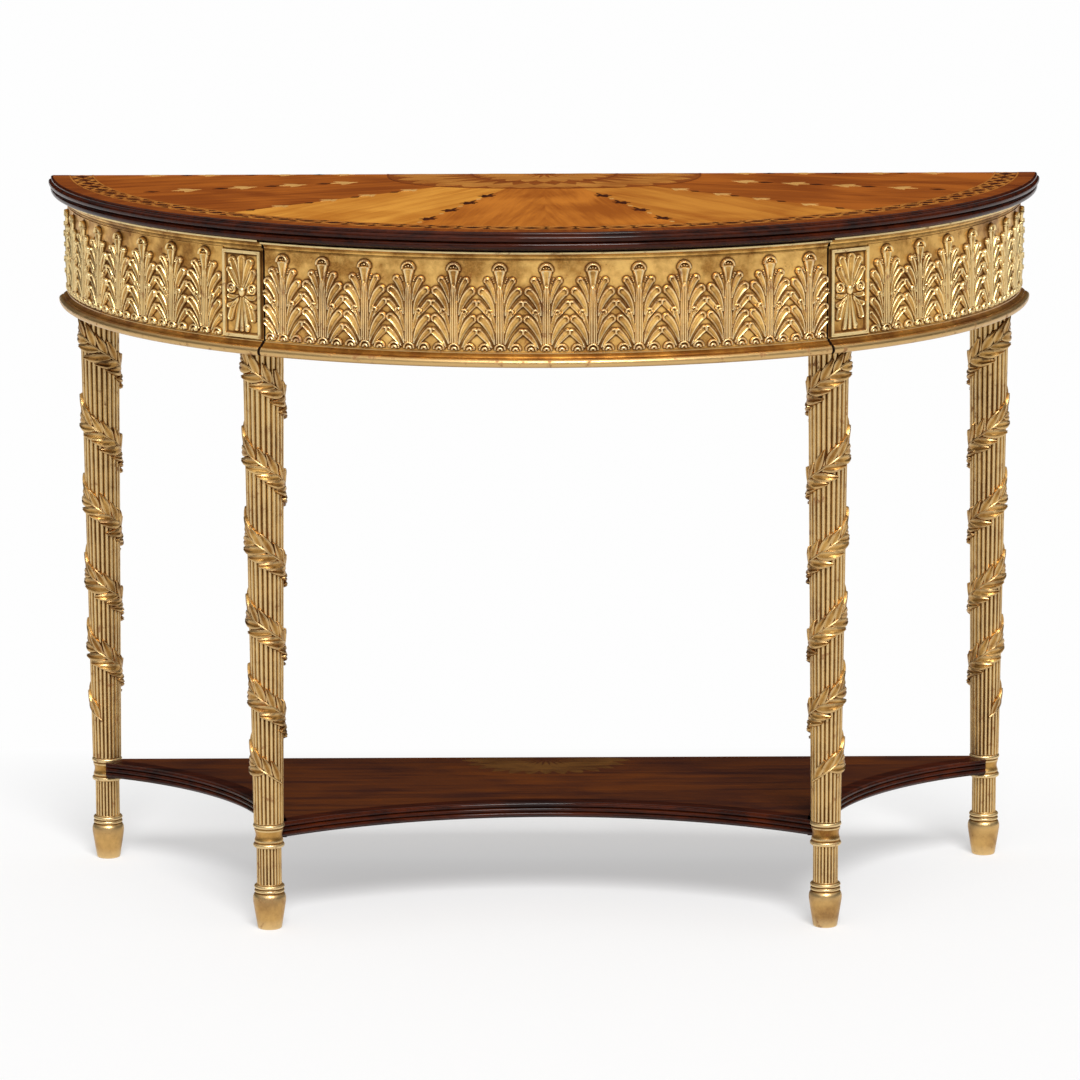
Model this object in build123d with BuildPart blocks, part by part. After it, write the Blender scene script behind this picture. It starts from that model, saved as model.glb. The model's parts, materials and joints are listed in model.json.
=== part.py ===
from build123d import *
import os
from math import acos, asin, atan2, cos, degrees, hypot, pi, radians, sin, sqrt

os.makedirs("parts", exist_ok=True)

# A demilune (half-round) side table. Millimetres; X runs along the back edge, the bowed
# front faces -Y, Z is up, and the origin is on the floor in the middle of the footprint.

# ---- Whole table ----
table_width = 1269.0
table_depth = 580.0
table_height = 889.0

chord_count = 4  # chords that stand for each round of a moulding or reed
turned_chord_count = 2  # and for each small round of the turned work
screw_side_count = 8  # sides that stand for the round of a screw

# ---- Top ----
panel_thickness = 12.5
edge_width = 26.0  # solid lipping round the veneered panel
nose_radius = 5.5
quirk_depth = 2.5
under_thickness = 11.0
under_width = 76.0
under_setback = 1.0
reed_radius = 4.0
batten_width = 60.0

# ---- Frieze ----
top_overhang = 25.0  # from the edge of the top to the face of the frieze
frieze_height = 141.0
cornice_height = 11.5
cornice_projection = 12.0
bead_height = 17.5
bead_projection = 14.0
bead_radius = 6.5
fillet_step = 2.5
rib_thickness = 16.0
pier_width = 62.0
pier_depth = 63.0
back_rail_thickness = 22.0
back_block_width = 60.0
back_block_depth = 60.0

# ---- Joints of the frame ----
tenon_length = 12.0
tenon_thickness = 8.0
tenon_width = 24.0
tenon_shoulder = 20.0
housing_depth = 6.0
joint_clearance = 0.1

# ---- Carved work ----
carving_ground = 1.5
leaf_relief = 4.5
leaf_base_sink = 1.0
leaf_width = 53.0
drawer_leaf_count = 13
side_leaf_count = 8
side_leaf_pitch = 5.62  # degrees
tablet_width = 55.5
tablet_margin = 1.5
tablet_frame = 5.0
tablet_relief = 4.0
rosette_radius = 12.0
rosette_petals = 8
petal_sides = 5

# ---- Drawer ----
drawer_front_width = 677.0
drawer_gap = 2.0
front_thickness = 22.0
board_thickness = 12.0
bottom_thickness = 6.0
bottom_height = 8.0
groove_depth = 5.0
dovetail_count = 4
dovetail_lap = 9.5
dovetail_slope = 1.0 / 7.0
tail_share = 0.5  # width of a tail at its root over the pitch of the tails
back_top_drop = 5.0
back_dovetail_count = 3

# ---- Drawer runners ----
rail_thickness = 16.0
rail_width = 44.0
rail_gap = 1.5
runner_width = 34.0
runner_clearance = 0.5
kicker_clearance = 1.5
guide_width = 12.0
guide_height = 30.0
guide_clearance = 1.0
runner_to_pier = 4.5
tongue_length = 8.0
tongue_thickness = 6.0
tongue_inset = 5.0
stop_length = 20.0
stop_width = 14.0
stop_height = 18.0
stop_clearance = 0.4

# ---- Legs ----
leg_setback = 36.0  # leg axis to the face of the frieze
back_leg_setback = 28.0  # leg axis to the plane of the back
leg_top_radius = 25.5
leg_low_radius = 18.5
reed_count = 22
reed_depth_share = 0.1
leg_tenon_radius = 10.0
leg_tenon_height = 45.0
collar_top = 134.0
collar_bottom = 103.0
collar_radius = 19.5
collar_ring = 8.0
neck_radius = 17.0
stub_radius = 15.5
foot_ring_top = 57.0
foot_ring = 7.0
foot_ring_radius = 18.5
foot_radius = 20.5
foot_shoulder = 12.0
toe_radius = 15.0

# ---- Shelf ----
shelf_top = 130.0
shelf_thickness = 20.0
shelf_front_sag = 117.0
shelf_side_sag = 60.0
shelf_ear = 27.0  # from the axis of a back leg forward to the end of the side edge
shelf_edge_width = 22.0
shelf_clearance = 0.2
mitre_sweep = 6.0  # degrees of extra moulding, cut off again by the mitre
shelf_reeds = 3
shelf_reed_depth = 2.2
dowel_radius = 4.0
dowel_in_leg = 12.0
dowel_in_shelf = 28.0
back_dowel_angle = 25.0  # degrees in front of the line of the back edge

# ---- Screws that hold the top ----
block_size = 30.0
side_block_count = 2
screw_radius = 2.0
screw_head_share = 2.0  # head radius over shank radius
screw_bite = 8.0
rail_screw_angles = (-20.0, 0.0, 20.0)
bottom_screw_spacing = 200.0
bottom_screw_radius = 1.5
bottom_screw_length = 16.0

full_turn = 360.0

# ---- Derived places ----
back_y = table_depth / 2
bow_radius = (table_width**2 / 4 + table_depth**2) / (2 * table_depth)
axis_y = back_y - table_depth + bow_radius
face_radius = bow_radius - top_overhang
panel_bottom = table_height - panel_thickness
carcass_top = panel_bottom - under_thickness
frieze_bottom = carcass_top - frieze_height
rib_inner = face_radius - rib_thickness
pier_inner = face_radius - pier_depth
under_inner = bow_radius - under_width
front_inner = face_radius - front_thickness
rail_outer = front_inner - rail_gap
rail_inner = rail_outer - rail_width
rail_middle = (rail_inner + rail_outer) / 2
leg_circle = face_radius - leg_setback

drawer_angle = degrees(asin(drawer_front_width / 2 / face_radius))
pier_start = drawer_angle + degrees(drawer_gap / face_radius)
pier_end = pier_start + degrees(pier_width / face_radius)
pier_middle = (pier_start + pier_end) / 2
past_back = 90.0  # an angle safely behind the back plane

front_leg_x = leg_circle * sin(radians(pier_middle))
front_leg_y = axis_y - leg_circle * cos(radians(pier_middle))
back_leg_y = back_y - back_leg_setback
back_leg_x = sqrt(leg_circle**2 - (axis_y - back_leg_y) ** 2)
block_inner_x = back_leg_x - back_block_width / 2
rail_front_y = back_y - back_rail_thickness

runner_outer_x = pier_inner * sin(radians(pier_start)) - runner_to_pier
runner_inner_x = runner_outer_x - runner_width
guide_inner_x = runner_outer_x - guide_width
box_half = guide_inner_x - guide_clearance
box_inner = box_half - board_thickness
runner_top = frieze_bottom + rail_thickness
kicker_bottom = carcass_top - rail_thickness
box_bottom = runner_top + runner_clearance
box_top = kicker_bottom - kicker_clearance
panel_low = box_bottom + bottom_height
panel_high = panel_low + bottom_thickness
back_board_top = box_top - back_top_drop
stop_front_y = rail_front_y - stop_length
box_back_y = stop_front_y - stop_clearance
shelf_bottom = shelf_top - shelf_thickness
shelf_middle = (shelf_top + shelf_bottom) / 2

bow_axis = Axis((0, axis_y, 0), (0, 0, 1))
in_front_of_back = Plane.XZ.offset(-back_y)


def section_plane(angle, centre=(0, axis_y)):
    """Upright plane through a vertical axis: x runs outward, y runs up."""
    a = radians(angle)
    return Plane(
        origin=(centre[0], centre[1], 0),
        x_dir=(sin(a), -cos(a), 0),
        z_dir=(-cos(a), -sin(a), 0),
    )


def face_plane(angle, radius):
    """Upright plane that touches a circle about the bow axis and faces outward."""
    a = radians(angle)
    return Plane(
        origin=(radius * sin(a), axis_y - radius * cos(a), 0),
        x_dir=(cos(a), sin(a), 0),
        z_dir=(sin(a), -cos(a), 0),
    )


def arc_bar(start, end, inner, outer, bottom, top, mode=Mode.ADD):
    """Bar of rectangular section bent about the bow axis."""
    with BuildSketch(section_plane(start)) as section:
        with Locations(((inner + outer) / 2, (bottom + top) / 2)):
            Rectangle(outer - inner, top - bottom)
    revolve(section.sketch, axis=bow_axis, revolution_arc=end - start, mode=mode)


def block(x_range, y_range, z_range, mode=Mode.ADD):
    """Square-cornered block between the given limits."""
    sizes = [high - low for low, high in (x_range, y_range, z_range)]
    middle = [(high + low) / 2 for low, high in (x_range, y_range, z_range)]
    with Locations(tuple(middle)):
        Box(*sizes, mode=mode)


def rounded_block(x_range, y_range, bottom, top, radius, mode=Mode.ADD):
    """Block whose front end is cut to a circle about the bow axis."""
    with BuildSketch(Plane.XY.offset(bottom)) as plan:
        with Locations(((x_range[0] + x_range[1]) / 2, (y_range[0] + y_range[1]) / 2)):
            Rectangle(x_range[1] - x_range[0], y_range[1] - y_range[0])
        with Locations((0, axis_y)):
            Circle(radius, mode=Mode.INTERSECT)
    extrude(plan.sketch, amount=top - bottom, mode=mode)


def round_edge(start, crest, end, flats=chord_count):
    """An arc through three points, drawn as a few chords to keep long mouldings light."""
    arc = ThreePointArc(start, crest, end, mode=Mode.PRIVATE)
    Polyline(*[arc @ (i / flats) for i in range(flats + 1)])


def save(piece, name):
    """Label a finished piece and write its file."""
    piece.label = name
    export_step(piece, f"parts/{name}.step")


def save_pair(piece, name):
    """Write a right-hand piece and its mirror image."""
    save(piece, f"{name}_right")
    save(mirror(piece, about=Plane.YZ), f"{name}_left")


def screw(place, radius, length, mode=Mode.ADD):
    """Countersunk screw, or its hole, standing head down on the given place."""
    head_radius = screw_head_share * radius
    rings = []
    for height, size in ((0, head_radius), (head_radius - radius, radius), (length, radius)):
        with BuildSketch(Plane(place).offset(height)) as ring:
            RegularPolygon(size, screw_side_count)
        rings.append(ring.sketch)
    loft(rings, ruled=True, mode=mode)


# ---------------------------------------------------------------- top
with BuildPart() as top_panel:
    with BuildSketch(Plane.XY.offset(panel_bottom)):
        with Locations((0, axis_y)):
            Circle(bow_radius - edge_width)
        with Locations((0, back_y)):
            Rectangle(
                table_width,
                table_depth,
                align=(Align.CENTER, Align.MAX),
                mode=Mode.INTERSECT,
            )
    extrude(amount=panel_thickness)
save(top_panel.part, "top_panel")

with BuildPart() as top_edge_moulding:
    nose_x = bow_radius - nose_radius
    nose_bottom = table_height - 2 * nose_radius
    with BuildSketch(section_plane(-past_back)):
        with BuildLine():
            Polyline(
                (nose_x, table_height),
                (bow_radius - edge_width, table_height),
                (bow_radius - edge_width, panel_bottom),
                (nose_x - quirk_depth, panel_bottom),
                (nose_x - quirk_depth, nose_bottom),
                (nose_x, nose_bottom),
            )
            round_edge(
                (nose_x, nose_bottom),
                (bow_radius, table_height - nose_radius),
                (nose_x, table_height),
            )
        make_face()
    revolve(axis=bow_axis, revolution_arc=2 * past_back)
    split(bisect_by=in_front_of_back, keep=Keep.TOP)
save(top_edge_moulding.part, "top_edge_moulding")


corner_angle = degrees(acos((axis_y - back_y + back_block_depth) / rib_inner))
block_pitch = (corner_angle - pier_end) / (side_block_count + 1)
block_angles = [pier_end + (i + 1) * block_pitch for i in range(side_block_count)]
back_block_x = (runner_outer_x + block_inner_x) / 2


def top_screw_places():
    """Plan place and head height of every screw that holds the top."""
    block_bottom = carcass_top - block_size
    block_radius = rib_inner - block_size / 2
    places = []
    for angle in block_angles:
        for side in (-1, 1):
            a = radians(side * angle)
            places.append((block_radius * sin(a), axis_y - block_radius * cos(a), block_bottom))
    for side in (-1, 1):
        places.append((side * back_block_x, rail_front_y - block_size / 2, block_bottom))
    for angle in rail_screw_angles:
        a = radians(angle)
        places.append((rail_middle * sin(a), axis_y - rail_middle * cos(a), kicker_bottom))
    return places


def top_screws(mode=Mode.SUBTRACT):
    """All screws of the top, or the holes for them."""
    for place in top_screw_places():
        screw(place, screw_radius, carcass_top + screw_bite - place[2], mode)


with BuildPart() as top_under_moulding:
    reed_x = bow_radius - under_setback - reed_radius
    reed_bottom = panel_bottom - 2 * reed_radius
    cove_x = face_radius + cornice_projection + fillet_step
    with BuildSketch(section_plane(-past_back)):
        with BuildLine():
            Polyline(
                (reed_x, panel_bottom),
                (under_inner, panel_bottom),
                (under_inner, carcass_top),
                (cove_x, carcass_top),
                (cove_x, carcass_top + fillet_step),
                (reed_x, reed_bottom),
            )
            round_edge(
                (reed_x, reed_bottom),
                (reed_x + reed_radius, panel_bottom - reed_radius),
                (reed_x, panel_bottom),
            )
        make_face()
    revolve(axis=bow_axis, revolution_arc=2 * past_back)
    split(bisect_by=in_front_of_back, keep=Keep.TOP)
    top_screws()
save(top_under_moulding.part, "top_under_moulding")

with BuildPart() as top_back_batten:
    rounded_block(
        (-table_width / 2, table_width / 2),
        (back_y - batten_width, back_y),
        carcass_top,
        panel_bottom,
        under_inner,
    )
    top_screws()
save(top_back_batten.part, "top_back_batten")

with BuildPart() as top_screw_set:
    top_screws(Mode.ADD)
save(top_screw_set.part, "top_screws")

with BuildPart() as top_blocks:
    low = carcass_top - block_size
    half = degrees(block_size / 2 / rib_inner)
    for angle in block_angles:
        arc_bar(angle - half, angle + half, rib_inner - block_size, rib_inner, low, carcass_top)
    back_range = (back_block_x - block_size / 2, back_block_x + block_size / 2)
    block(back_range, (rail_front_y - block_size, rail_front_y), (low, carcass_top))
    mirror(about=Plane.YZ)
    top_screws()
save(top_blocks.part, "top_fixing_blocks")


# ---------------------------------------------------------------- frame of the frieze
def rail_tenons(middle, clearance=0.0, mode=Mode.ADD):
    """Ends of a drawer rail that enter the two piers, or their mortises."""
    reach = pier_start + degrees((tenon_length + clearance) / rail_middle)
    half_width = tenon_width / 2 + clearance
    half_height = tenon_thickness / 2 + clearance
    arc_bar(
        -reach,
        reach,
        rail_middle - half_width,
        rail_middle + half_width,
        middle - half_height,
        middle + half_height,
        mode,
    )


def rib_tongue(clearance=0.0, mode=Mode.ADD):
    """Upright tongue on the front end of a side frieze, or its mortise in the pier."""
    middle = (rib_inner + face_radius) / 2
    reach = degrees((tenon_length + clearance) / middle)
    half = tenon_thickness / 2 + clearance
    arc_bar(
        pier_end - reach,
        pier_end + reach,
        middle - half,
        middle + half,
        frieze_bottom + tenon_shoulder - clearance,
        carcass_top - tenon_shoulder + clearance,
        mode,
    )


def leg_bores(clearance=joint_clearance):
    """Bores for the turned tenons on the leg tops."""
    height = leg_tenon_height + clearance
    with Locations(
        (front_leg_x, front_leg_y, frieze_bottom),
        (back_leg_x, back_leg_y, frieze_bottom),
    ):
        Cylinder(
            leg_tenon_radius + clearance,
            height,
            align=(Align.CENTER, Align.CENTER, Align.MIN),
            mode=Mode.SUBTRACT,
        )


lower_rail_middle = frieze_bottom + rail_thickness / 2
upper_rail_middle = carcass_top - rail_thickness / 2

with BuildPart() as front_pier:
    arc_bar(pier_start, pier_end, pier_inner, face_radius, frieze_bottom, carcass_top)
    rib_tongue(joint_clearance, Mode.SUBTRACT)
    rail_tenons(lower_rail_middle, joint_clearance, Mode.SUBTRACT)
    rail_tenons(upper_rail_middle, joint_clearance, Mode.SUBTRACT)
    leg_bores()
save_pair(front_pier.part, "front_pier")

with BuildPart() as side_frieze:
    arc_bar(pier_end, past_back, rib_inner, face_radius, frieze_bottom, carcass_top)
    rib_tongue()
    split(bisect_by=in_front_of_back, keep=Keep.TOP)
save_pair(side_frieze.part, "side_frieze")


def back_rail_tenons(clearance=0.0, mode=Mode.ADD):
    """Ends of the back rail that enter the corner blocks, or their mortises."""
    reach = block_inner_x + tenon_length + clearance
    middle = back_y - back_rail_thickness / 2
    half = tenon_thickness / 2 + clearance
    block(
        (-reach, reach),
        (middle - half, middle + half),
        (frieze_bottom + tenon_shoulder - clearance, carcass_top - tenon_shoulder + clearance),
        mode,
    )


with BuildPart() as back_block:
    rounded_block(
        (block_inner_x, table_width / 2),
        (back_y - back_block_depth, back_y),
        frieze_bottom,
        carcass_top,
        rib_inner,
    )
    back_rail_tenons(joint_clearance, Mode.SUBTRACT)
    leg_bores()
save_pair(back_block.part, "back_corner_block")


def bearer(bottom, end_y):
    """Runner or kicker: a square bar from the back rail to the drawer rail."""
    rounded_block(
        (runner_inner_x, runner_outer_x),
        (axis_y - rail_outer, end_y),
        bottom,
        bottom + rail_thickness,
        rail_inner,
    )


def bearer_tongue(bottom, clearance=0.0, mode=Mode.ADD):
    """Tongue of a runner or kicker in the drawer rail, or the slot for it."""
    middle = bottom + rail_thickness / 2
    half = tongue_thickness / 2 + clearance
    rounded_block(
        (runner_inner_x + tongue_inset - clearance, runner_outer_x - tongue_inset + clearance),
        (axis_y - rail_outer, rail_front_y),
        middle - half,
        middle + half,
        rail_inner + tongue_length + clearance,
        mode,
    )


with BuildPart() as runner:
    bearer(frieze_bottom, rail_front_y + housing_depth)
    bearer_tongue(frieze_bottom)
save_pair(runner.part, "drawer_runner")

with BuildPart() as kicker:
    bearer(kicker_bottom, rail_front_y + housing_depth)
    bearer_tongue(kicker_bottom)
save_pair(kicker.part, "drawer_kicker")

with BuildPart() as guide:
    rounded_block(
        (guide_inner_x, runner_outer_x),
        (axis_y - rail_outer, rail_front_y),
        runner_top,
        runner_top + guide_height,
        rail_inner,
    )
save_pair(guide.part, "drawer_guide")

with BuildPart() as drawer_stops:
    stop_range = (box_half - stop_width, box_half)
    block(stop_range, (stop_front_y, rail_front_y), (runner_top, runner_top + stop_height))
    mirror(about=Plane.YZ)
save(drawer_stops.part, "drawer_stops")

with BuildPart() as back_rail:
    block(
        (-block_inner_x, block_inner_x),
        (rail_front_y, back_y),
        (frieze_bottom, carcass_top),
    )
    back_rail_tenons()
    for bottom in (frieze_bottom, kicker_bottom):
        for side in (-1, 1):
            edges = sorted((side * runner_inner_x, side * runner_outer_x))
            block(
                (edges[0] - joint_clearance, edges[1] + joint_clearance),
                (rail_front_y, rail_front_y + housing_depth + joint_clearance),
                (bottom - joint_clearance, bottom + rail_thickness + joint_clearance),
                Mode.SUBTRACT,
            )
save(back_rail.part, "back_rail")


def drawer_rail(bottom):
    """Bowed rail between the piers, slotted for the runners or kickers."""
    arc_bar(-pier_start, pier_start, rail_inner, rail_outer, bottom, bottom + rail_thickness)
    rail_tenons(bottom + rail_thickness / 2)
    bearer_tongue(bottom, joint_clearance, Mode.SUBTRACT)
    split(bisect_by=Plane.YZ, keep=Keep.TOP)
    mirror(about=Plane.YZ)


with BuildPart() as drawer_lower_rail:
    drawer_rail(frieze_bottom)
save(drawer_lower_rail.part, "drawer_lower_rail")

with BuildPart() as drawer_upper_rail:
    drawer_rail(kicker_bottom)
    top_screws()
save(drawer_upper_rail.part, "drawer_upper_rail")


# ---------------------------------------------------------------- gilt mouldings
def cornice_face(angle, top):
    """Section of the cavetto under the top."""
    low = top - cornice_height
    lip = face_radius + cornice_projection
    with BuildSketch(section_plane(angle)) as section:
        with BuildLine():
            Polyline(
                (lip, top - fillet_step),
                (lip, top),
                (face_radius, top),
                (face_radius, low),
                (face_radius + fillet_step, low),
                (face_radius + fillet_step, low + fillet_step),
            )
            hollow = RadiusArc(
                (face_radius + fillet_step, low + fillet_step),
                (lip, top - fillet_step),
                cornice_height,
                mode=Mode.PRIVATE,
            )
            round_edge(hollow @ 0, hollow @ 0.5, hollow @ 1)
        make_face()
    return section.sketch


def bead_face(angle):
    """Section of the bead round the foot of the frieze: fillet, cove and torus."""
    top = frieze_bottom + bead_height
    torus_x = face_radius + bead_projection - bead_radius
    torus_top = frieze_bottom + 2 * bead_radius
    with BuildSketch(section_plane(angle)) as section:
        with BuildLine():
            Polyline(
                (torus_x, frieze_bottom),
                (face_radius, frieze_bottom),
                (face_radius, top),
                (face_radius + fillet_step, top),
                (face_radius + fillet_step, top - fillet_step),
                (torus_x, torus_top),
            )
            round_edge(
                (torus_x, torus_top),
                (torus_x + bead_radius, frieze_bottom + bead_radius),
                (torus_x, frieze_bottom),
            )
        make_face()
    return section.sketch


with BuildPart() as side_cornice:
    section = cornice_face(pier_start, carcass_top)
    revolve(section, axis=bow_axis, revolution_arc=past_back - pier_start)
    split(bisect_by=in_front_of_back, keep=Keep.TOP)
save_pair(side_cornice.part, "side_cornice")

with BuildPart() as side_bead:
    revolve(bead_face(pier_start), axis=bow_axis, revolution_arc=past_back - pier_start)
    split(bisect_by=in_front_of_back, keep=Keep.TOP)
save_pair(side_bead.part, "side_bead")

front_top = carcass_top - drawer_gap
with BuildPart() as drawer_cornice:
    section = cornice_face(-drawer_angle, front_top)
    revolve(section, axis=bow_axis, revolution_arc=2 * drawer_angle)
save(drawer_cornice.part, "drawer_cornice")

with BuildPart() as drawer_bead:
    revolve(bead_face(-drawer_angle), axis=bow_axis, revolution_arc=2 * drawer_angle)
save(drawer_bead.part, "drawer_bead")


# ---------------------------------------------------------------- carved bands
carving_bottom = frieze_bottom + bead_height
carving_top = front_top - cornice_height
# One side of an acanthus leaf as shares of its half-width and of the band's height.
leaf_edge = (
    (0.0, 0.0),
    (1.0, 0.0),
    (1.0, 0.22),
    (0.42, 0.46),
    (0.96, 0.62),
    (0.5, 0.74),
    (0.6, 0.9),
    (0.0, 1.0),
)


def acanthus(angle):
    """One acanthus leaf standing on the ground of a carved band."""
    height = carving_top - carving_bottom
    right = [(x * leaf_width / 2, carving_bottom + y * height) for x, y in leaf_edge]
    left = [(-x, y) for x, y in reversed(right[1:-1])]
    plane = face_plane(angle, face_radius + carving_ground - leaf_base_sink)
    with BuildSketch(plane) as outline:
        with BuildLine():
            Polyline(*right, *left, close=True)
        make_face()
    extrude(outline.sketch, amount=leaf_base_sink + leaf_relief)


with BuildPart() as drawer_carving:
    outer = face_radius + carving_ground
    arc_bar(-drawer_angle, drawer_angle, face_radius, outer, carving_bottom, carving_top)
    drawer_leaf_pitch = 2 * drawer_angle / drawer_leaf_count
    for i in range(drawer_leaf_count):
        acanthus((i - (drawer_leaf_count - 1) / 2) * drawer_leaf_pitch)
save(drawer_carving.part, "drawer_carving")

with BuildPart() as side_carving:
    outer = face_radius + carving_ground
    arc_bar(pier_end, past_back, face_radius, outer, carving_bottom, carving_top)
    for i in range(side_leaf_count):
        acanthus(pier_end + (i + 0.5) * side_leaf_pitch)
    split(bisect_by=in_front_of_back, keep=Keep.TOP)
save_pair(side_carving.part, "side_carving")

with BuildPart() as tablet:
    half = degrees(tablet_width / 2 / face_radius)
    inner_half = half - degrees(tablet_frame / face_radius)
    low = carving_bottom + tablet_margin
    high = carving_top - tablet_margin
    ground = face_radius + carving_ground
    arc_bar(pier_middle - half, pier_middle + half, face_radius, ground + tablet_relief, low, high)
    arc_bar(
        pier_middle - inner_half,
        pier_middle + inner_half,
        ground,
        ground + 2 * tablet_relief,
        low + tablet_frame,
        high - tablet_frame,
        Mode.SUBTRACT,
    )
    with BuildSketch(face_plane(pier_middle, ground - leaf_base_sink)) as rosette:
        with Locations((0, (low + high) / 2)):
            Circle(rosette_radius / 2)
            with PolarLocations(rosette_radius / 2, rosette_petals):
                RegularPolygon(rosette_radius / 2, petal_sides)
    extrude(rosette.sketch, amount=leaf_base_sink + tablet_relief)
save_pair(tablet.part, "rosette_tablet")


# ---------------------------------------------------------------- drawer
front_shoulder_y = axis_y - sqrt(front_inner**2 - box_half**2)
front_tail_end = axis_y - sqrt(face_radius**2 - box_half**2) + dovetail_lap
back_tail_root = box_back_y - board_thickness


def dovetails(x, root_y, end_y, low, high, count, clearance=0.0, mode=Mode.ADD):
    """Row of dovetails through one drawer side, widening from root_y to end_y."""
    pitch = (high - low) / count
    spread = abs(end_y - root_y) * dovetail_slope
    half_root = tail_share * pitch / 2 + clearance
    half_end = half_root + spread
    end = end_y + clearance * (1 if end_y > root_y else -1)
    with BuildSketch(Plane.YZ.offset(x - clearance)) as tails:
        for i in range(count):
            middle = low + (i + 0.5) * pitch
            with BuildLine():
                Polyline(
                    (root_y, middle - half_root),
                    (end, middle - half_end),
                    (end, middle + half_end),
                    (root_y, middle + half_root),
                    close=True,
                )
            make_face()
    extrude(tails.sketch, amount=board_thickness + 2 * clearance, mode=mode)


def front_tails(x, clearance=0.0, mode=Mode.ADD):
    """Lapped dovetails in the curved front: they start inside the side board."""
    low, high = box_bottom, box_top
    root = front_shoulder_y + dovetail_lap
    dovetails(x, root, front_tail_end, low, high, dovetail_count, clearance, mode)


def back_tails(x, clearance=0.0, mode=Mode.ADD):
    """Through dovetails at the back of the drawer."""
    low, high = panel_high, back_board_top
    dovetails(x, back_tail_root, box_back_y, low, high, back_dovetail_count, clearance, mode)


with BuildPart() as drawer_front:
    arc_bar(-drawer_angle, drawer_angle, front_inner, face_radius, frieze_bottom, front_top)
    for x in (box_inner, -box_half):
        front_tails(x, joint_clearance, Mode.SUBTRACT)
    rounded_block(
        (-box_inner, box_inner),
        (axis_y - face_radius, box_back_y),
        panel_low - joint_clearance,
        panel_high + joint_clearance,
        front_inner + groove_depth + joint_clearance,
        Mode.SUBTRACT,
    )
save(drawer_front.part, "drawer_front")

with BuildPart() as drawer_side:
    rounded_block(
        (box_inner, box_half),
        (axis_y - face_radius, box_back_y),
        box_bottom,
        box_top,
        front_inner,
    )
    front_tails(box_inner)
    block(
        (box_inner, box_half),
        (back_tail_root, box_back_y),
        (panel_high, back_board_top),
        Mode.SUBTRACT,
    )
    back_tails(box_inner)
    block(
        (box_inner, box_inner + groove_depth + joint_clearance),
        (axis_y - rail_inner, box_back_y),
        (panel_low - joint_clearance, panel_high + joint_clearance),
        Mode.SUBTRACT,
    )
    rounded_block(
        (box_inner, box_inner + groove_depth + joint_clearance),
        (axis_y - face_radius, box_back_y),
        panel_low - joint_clearance,
        panel_high + joint_clearance,
        front_inner,
        Mode.SUBTRACT,
    )
save_pair(drawer_side.part, "drawer_side")


def bottom_screws(mode=Mode.SUBTRACT):
    """Screws from below through the drawer bottom into the drawer back."""
    for x in (-bottom_screw_spacing, 0, bottom_screw_spacing):
        place = (x, box_back_y - board_thickness / 2, panel_low)
        screw(place, bottom_screw_radius, bottom_screw_length, mode)


with BuildPart() as drawer_back:
    block(
        (-box_half, box_half),
        (back_tail_root, box_back_y),
        (panel_high, back_board_top),
    )
    for x in (box_inner, -box_half):
        back_tails(x, joint_clearance, Mode.SUBTRACT)
    bottom_screws()
save(drawer_back.part, "drawer_back")

with BuildPart() as drawer_bottom:
    groove_x = box_inner + groove_depth
    rounded_block(
        (-groove_x, groove_x),
        (axis_y - face_radius, box_back_y),
        panel_low,
        panel_high,
        front_inner,
    )
    rounded_block(
        (-box_inner + joint_clearance, box_inner - joint_clearance),
        (axis_y - face_radius, box_back_y),
        panel_low,
        panel_high,
        front_inner + groove_depth,
    )
    bottom_screws()
save(drawer_bottom.part, "drawer_bottom")

with BuildPart() as drawer_screws:
    bottom_screws(Mode.ADD)
save(drawer_screws.part, "drawer_bottom_screws")


# ---------------------------------------------------------------- legs
def reeded_face(height, radius):
    """Level section of the reeded shaft: a ring of rounded reeds."""
    groove = radius * (1 - reed_depth_share)
    step = 2 * pi / reed_count
    with BuildSketch(Plane.XY.offset(height)) as section:
        with BuildLine():
            for i in range(reed_count):
                start, crest, end = i * step, (i + 0.5) * step, (i + 1) * step
                round_edge(
                    (groove * cos(start), groove * sin(start)),
                    (radius * cos(crest), radius * sin(crest)),
                    (groove * cos(end), groove * sin(end)),
                )
        make_face()
    return section.sketch


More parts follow.
